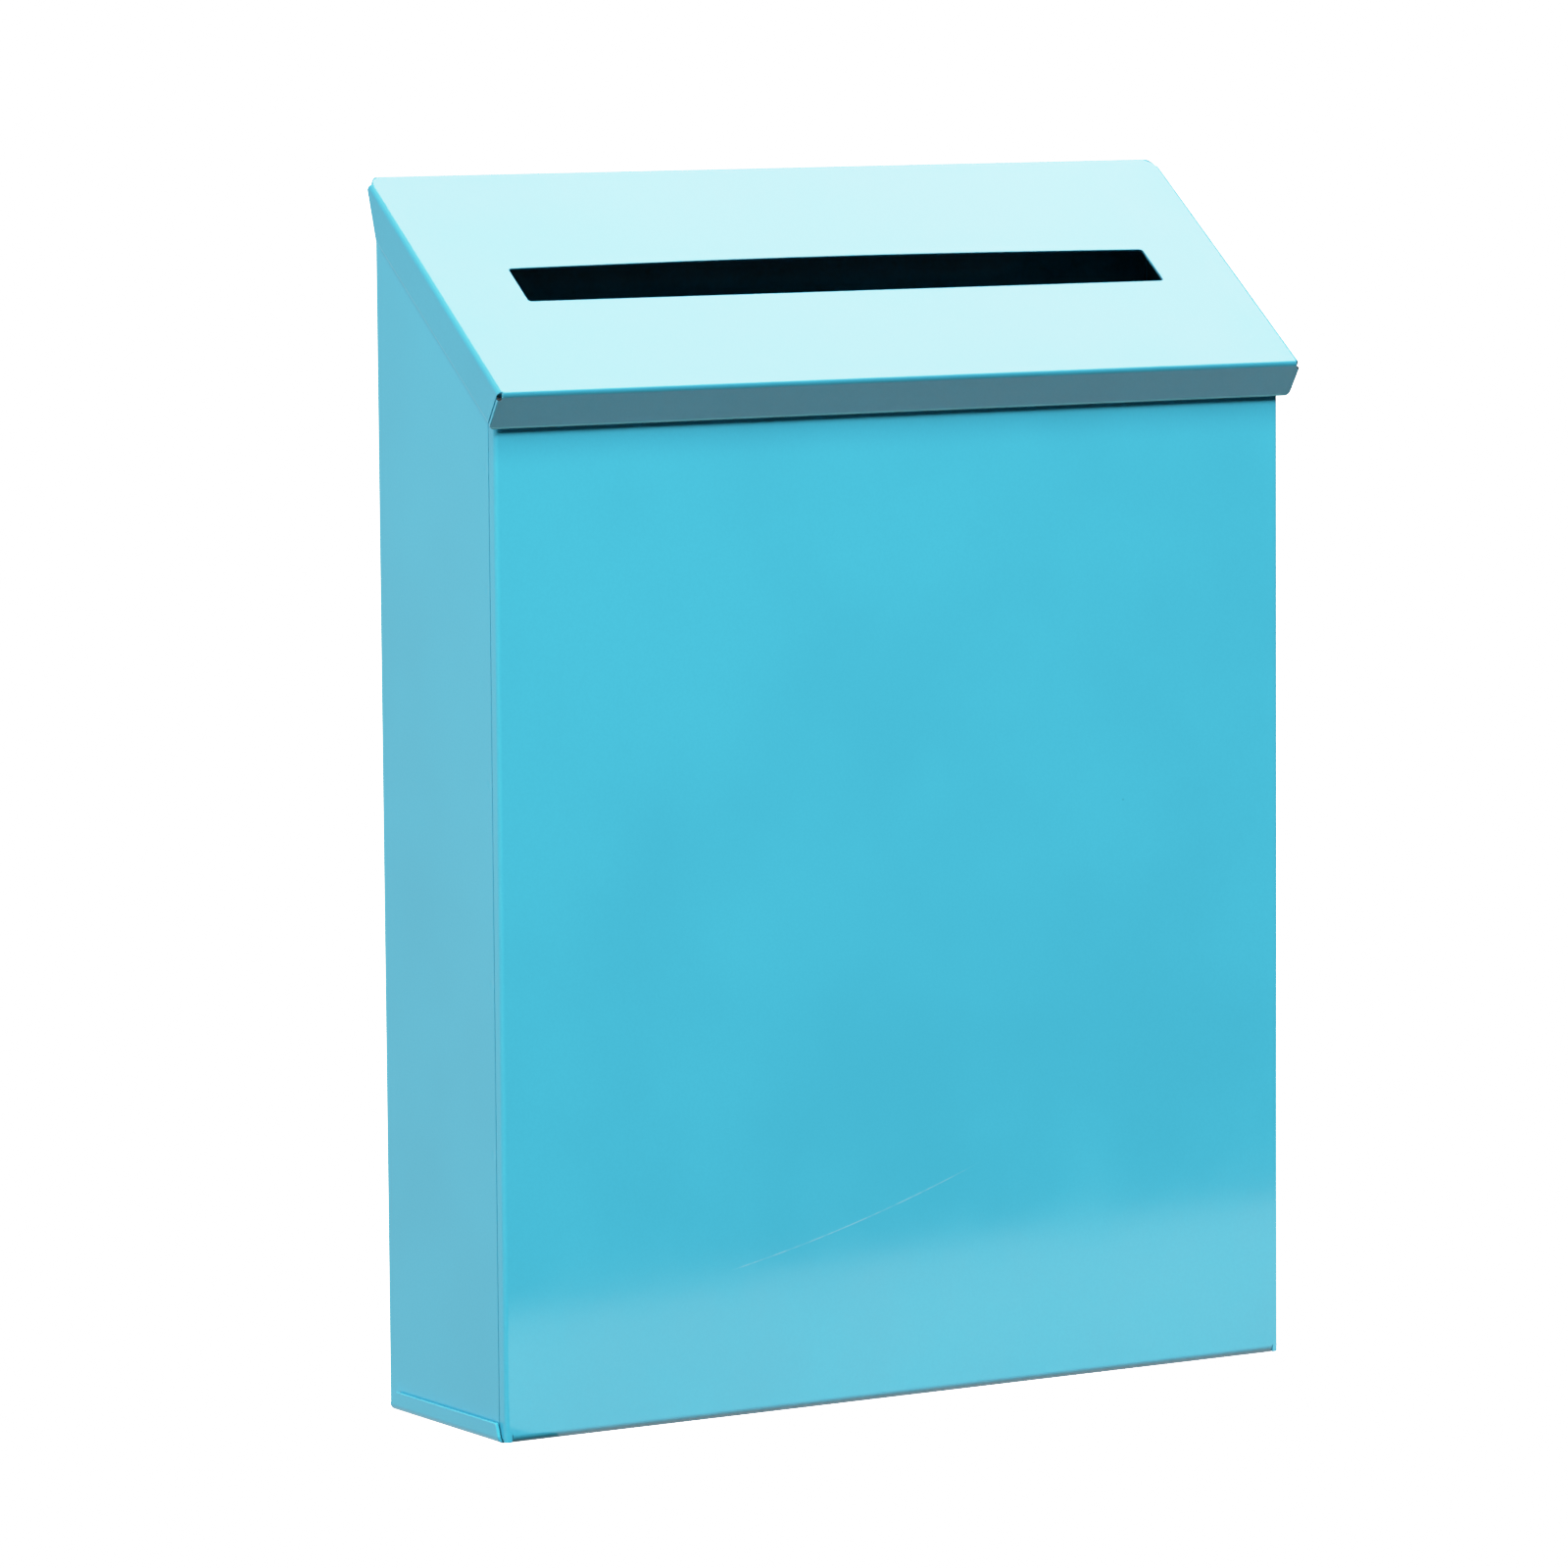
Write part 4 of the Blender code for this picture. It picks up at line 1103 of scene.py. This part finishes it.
def stage_plane(name, half, drop, glow):
    """A square of pale floor around the object, lit evenly from below like a light table."""
    mesh_data = bmesh.new()
    bmesh.ops.create_grid(mesh_data, x_segments=8, y_segments=8, size=half)
    mesh = bpy.data.meshes.new(name)
    mesh_data.to_mesh(mesh)
    mesh_data.free()
    nodes = Nodes(name + "_paper")
    fibre = nodes.noise(90.0, 3.0)
    tone = nodes.mix(fibre, shade(PAPER, 0.99), shade(PAPER, 1.01))
    rough = nodes.ranged(fibre, 0.2, 0.8, 0.85, 0.95)
    nodes.shader.inputs["Emission Color"].default_value = (1, 1, 1, 1)
    nodes.shader.inputs["Emission Strength"].default_value = glow
    mesh.materials.append(nodes.finish(tone, rough, nodes.bump(fibre, 0.02 * MM, 0.1)))
    plane = bpy.data.objects.new(name, mesh)
    plane.location.z = -drop
    bpy.context.scene.collection.objects.link(plane)
    return plane


floor = stage_plane("floor", FLOOR_HALF, 2 * FLOOR_DROP, FLOOR_GLOW)
floor.visible_diffuse = False
floor.visible_glossy = False
table = stage_plane("table_top", TABLE_HALF, FLOOR_DROP, TABLE_GLOW)
table.rotation_euler.z = TABLE_TURN
table.location.x = TABLE_PLACE[0]
table.location.y = TABLE_PLACE[1]
table.visible_camera = False
table.visible_diffuse = False
table.visible_shadow = False


def light_only(source, pieces):
    """Lets a light fall on these pieces alone, as flags and screens do in a studio."""
    lit = bpy.data.collections.new("lit_by_" + source.name)
    for piece in pieces:
        lit.objects.link(piece)
    source.light_linking.receiver_collection = lit


def softbox(name, place, target, size, power):
    light = bpy.data.lights.new(name, "AREA")
    light.shape = "RECTANGLE"
    light.size = size[0]
    light.size_y = size[1]
    light.energy = power
    lamp = bpy.data.objects.new(name, light)
    lamp.location = place
    lamp.rotation_euler = (Vector(target) - Vector(place)).to_track_quat("-Z", "Y").to_euler()
    lamp.visible_camera = False
    bpy.context.scene.collection.objects.link(lamp)
    return lamp


def set_world():
    """Even pale surroundings, dimmer in front of the object than behind it."""
    world = bpy.data.worlds.new("studio")
    world.use_nodes = True
    tree = world.node_tree
    background = tree.nodes["Background"]
    direction = tree.nodes.new("ShaderNodeTexCoord")
    split = tree.nodes.new("ShaderNodeSeparateXYZ")
    tree.links.new(direction.outputs["Generated"], split.inputs[0])
    level = tree.nodes.new("ShaderNodeMapRange")
    level.interpolation_type = "SMOOTHSTEP"
    level.inputs["From Min"].default_value = WORLD_FADE[0]
    level.inputs["From Max"].default_value = WORLD_FADE[1]
    level.inputs["To Min"].default_value = WORLD_IN_FRONT
    level.inputs["To Max"].default_value = WORLD_BEHIND
    tree.links.new(split.outputs["Y"], level.inputs["Value"])
    ray = tree.nodes.new("ShaderNodeLightPath")
    seen = tree.nodes.new("ShaderNodeMix")
    seen.inputs["B"].default_value = WORLD_SEEN
    tree.links.new(ray.outputs["Is Camera Ray"], seen.inputs["Factor"])
    tree.links.new(level.outputs[0], seen.inputs["A"])
    tree.links.new(seen.outputs["Result"], background.inputs["Strength"])
    background.inputs["Color"].default_value = (1, 1, 1, 1)
    bpy.context.scene.world = world


def set_camera():
    flat = math.cos(CAMERA_ELEVATION)
    across = math.sin(CAMERA_AZIMUTH) * flat
    depth = -math.cos(CAMERA_AZIMUTH) * flat
    back = Vector((across, depth, math.sin(CAMERA_ELEVATION)))
    level = Z.cross(back).normalized()
    upright = back.cross(level)
    right = level * math.cos(CAMERA_ROLL) + upright * math.sin(CAMERA_ROLL)
    up = upright * math.cos(CAMERA_ROLL) - level * math.sin(CAMERA_ROLL)
    data = bpy.data.cameras.new("camera")
    data.lens = CAMERA_LENS
    data.sensor_width = CAMERA_SENSOR
    data.clip_end = 300.0
    camera = bpy.data.objects.new("camera", data)
    bpy.context.scene.collection.objects.link(camera)
    turn = camera.matrix_world.to_3x3()
    turn.col[0], turn.col[1], turn.col[2] = right, up, back
    matrix = turn.to_4x4()
    aim = Vector((0, rear_y, CAMERA_AIM_HEIGHT))
    matrix.translation = aim + back * CAMERA_DISTANCE + right * CAMERA_ASIDE
    camera.matrix_world = matrix
    bpy.context.scene.camera = camera


def set_film():
    """Shows light up to the shoulder as it is, and rolls brighter light off to white, as a camera does."""
    view = bpy.context.scene.view_settings
    view.view_transform = "Standard"
    view.use_curve_mapping = True
    mapping = view.curve_mapping
    mapping.white_level = (FILM_WHITE, FILM_WHITE, FILM_WHITE)
    mapping.extend = "HORIZONTAL"
    points = mapping.curves[3].points
    points[-1].location = (1, 1)
    span = 1 - FILM_SHOULDER
    for i in range(FILM_POINTS):
        light = FILM_SHOULDER + (FILM_WHITE - FILM_SHOULDER) * (i / FILM_POINTS) ** FILM_SPREAD
        shown = FILM_SHOULDER + span * (1 - math.exp((FILM_SHOULDER - light) / span))
        points.new(light / FILM_WHITE, shown)
    for point in points:
        point.handle_type = "VECTOR"
    mapping.update()


set_world()
pieces = [piece for piece in bpy.context.scene.objects if piece.type == "MESH"]
other_pieces = [piece for piece in pieces if piece != lid_piece]
front_and_hardware = [piece for piece in other_pieces if piece not in side_pieces]
glare_place = LID_MIDDLE + GLARE * GLARE_DISTANCE
for light_name, place, target, size, power, lit_pieces in (
    ("top_softbox", glare_place, LID_MIDDLE, (0.90, 0.65), 9.6, [lid_piece]),
    ("overhead_softbox", (0.15, -0.20, 1.62), (0.15, -0.19, 0.32), (2.1, 1.4), 10, [lid_piece]),
    ("lid_softbox", (-0.20, -1.95, 1.95), LID_MIDDLE, (1.2, 0.9), 47, [lid_piece]),
    ("key_softbox", (-0.15, -2.80, 3.85), BODY_MIDDLE, (2.5, 2.8), 394, front_and_hardware),
    ("left_softbox", (-2.2, 0.0, 1.0), BODY_MIDDLE, (1.0, 1.2), 22, []),
    ("side_softbox", (-1.6, -1.2, 1.9), BODY_MIDDLE, (0.4, 0.4), 19, side_pieces),
    ("corner_softbox", (-1.8, -0.95, 0.3), (-0.13, -0.03, 0.17), (1.0, 1.5), 3, [front_piece]),
):
    lamp = softbox(light_name, place, target, size, power)
    if lit_pieces:
        light_only(lamp, lit_pieces)
light_only(table, other_pieces)
set_camera()
set_film()
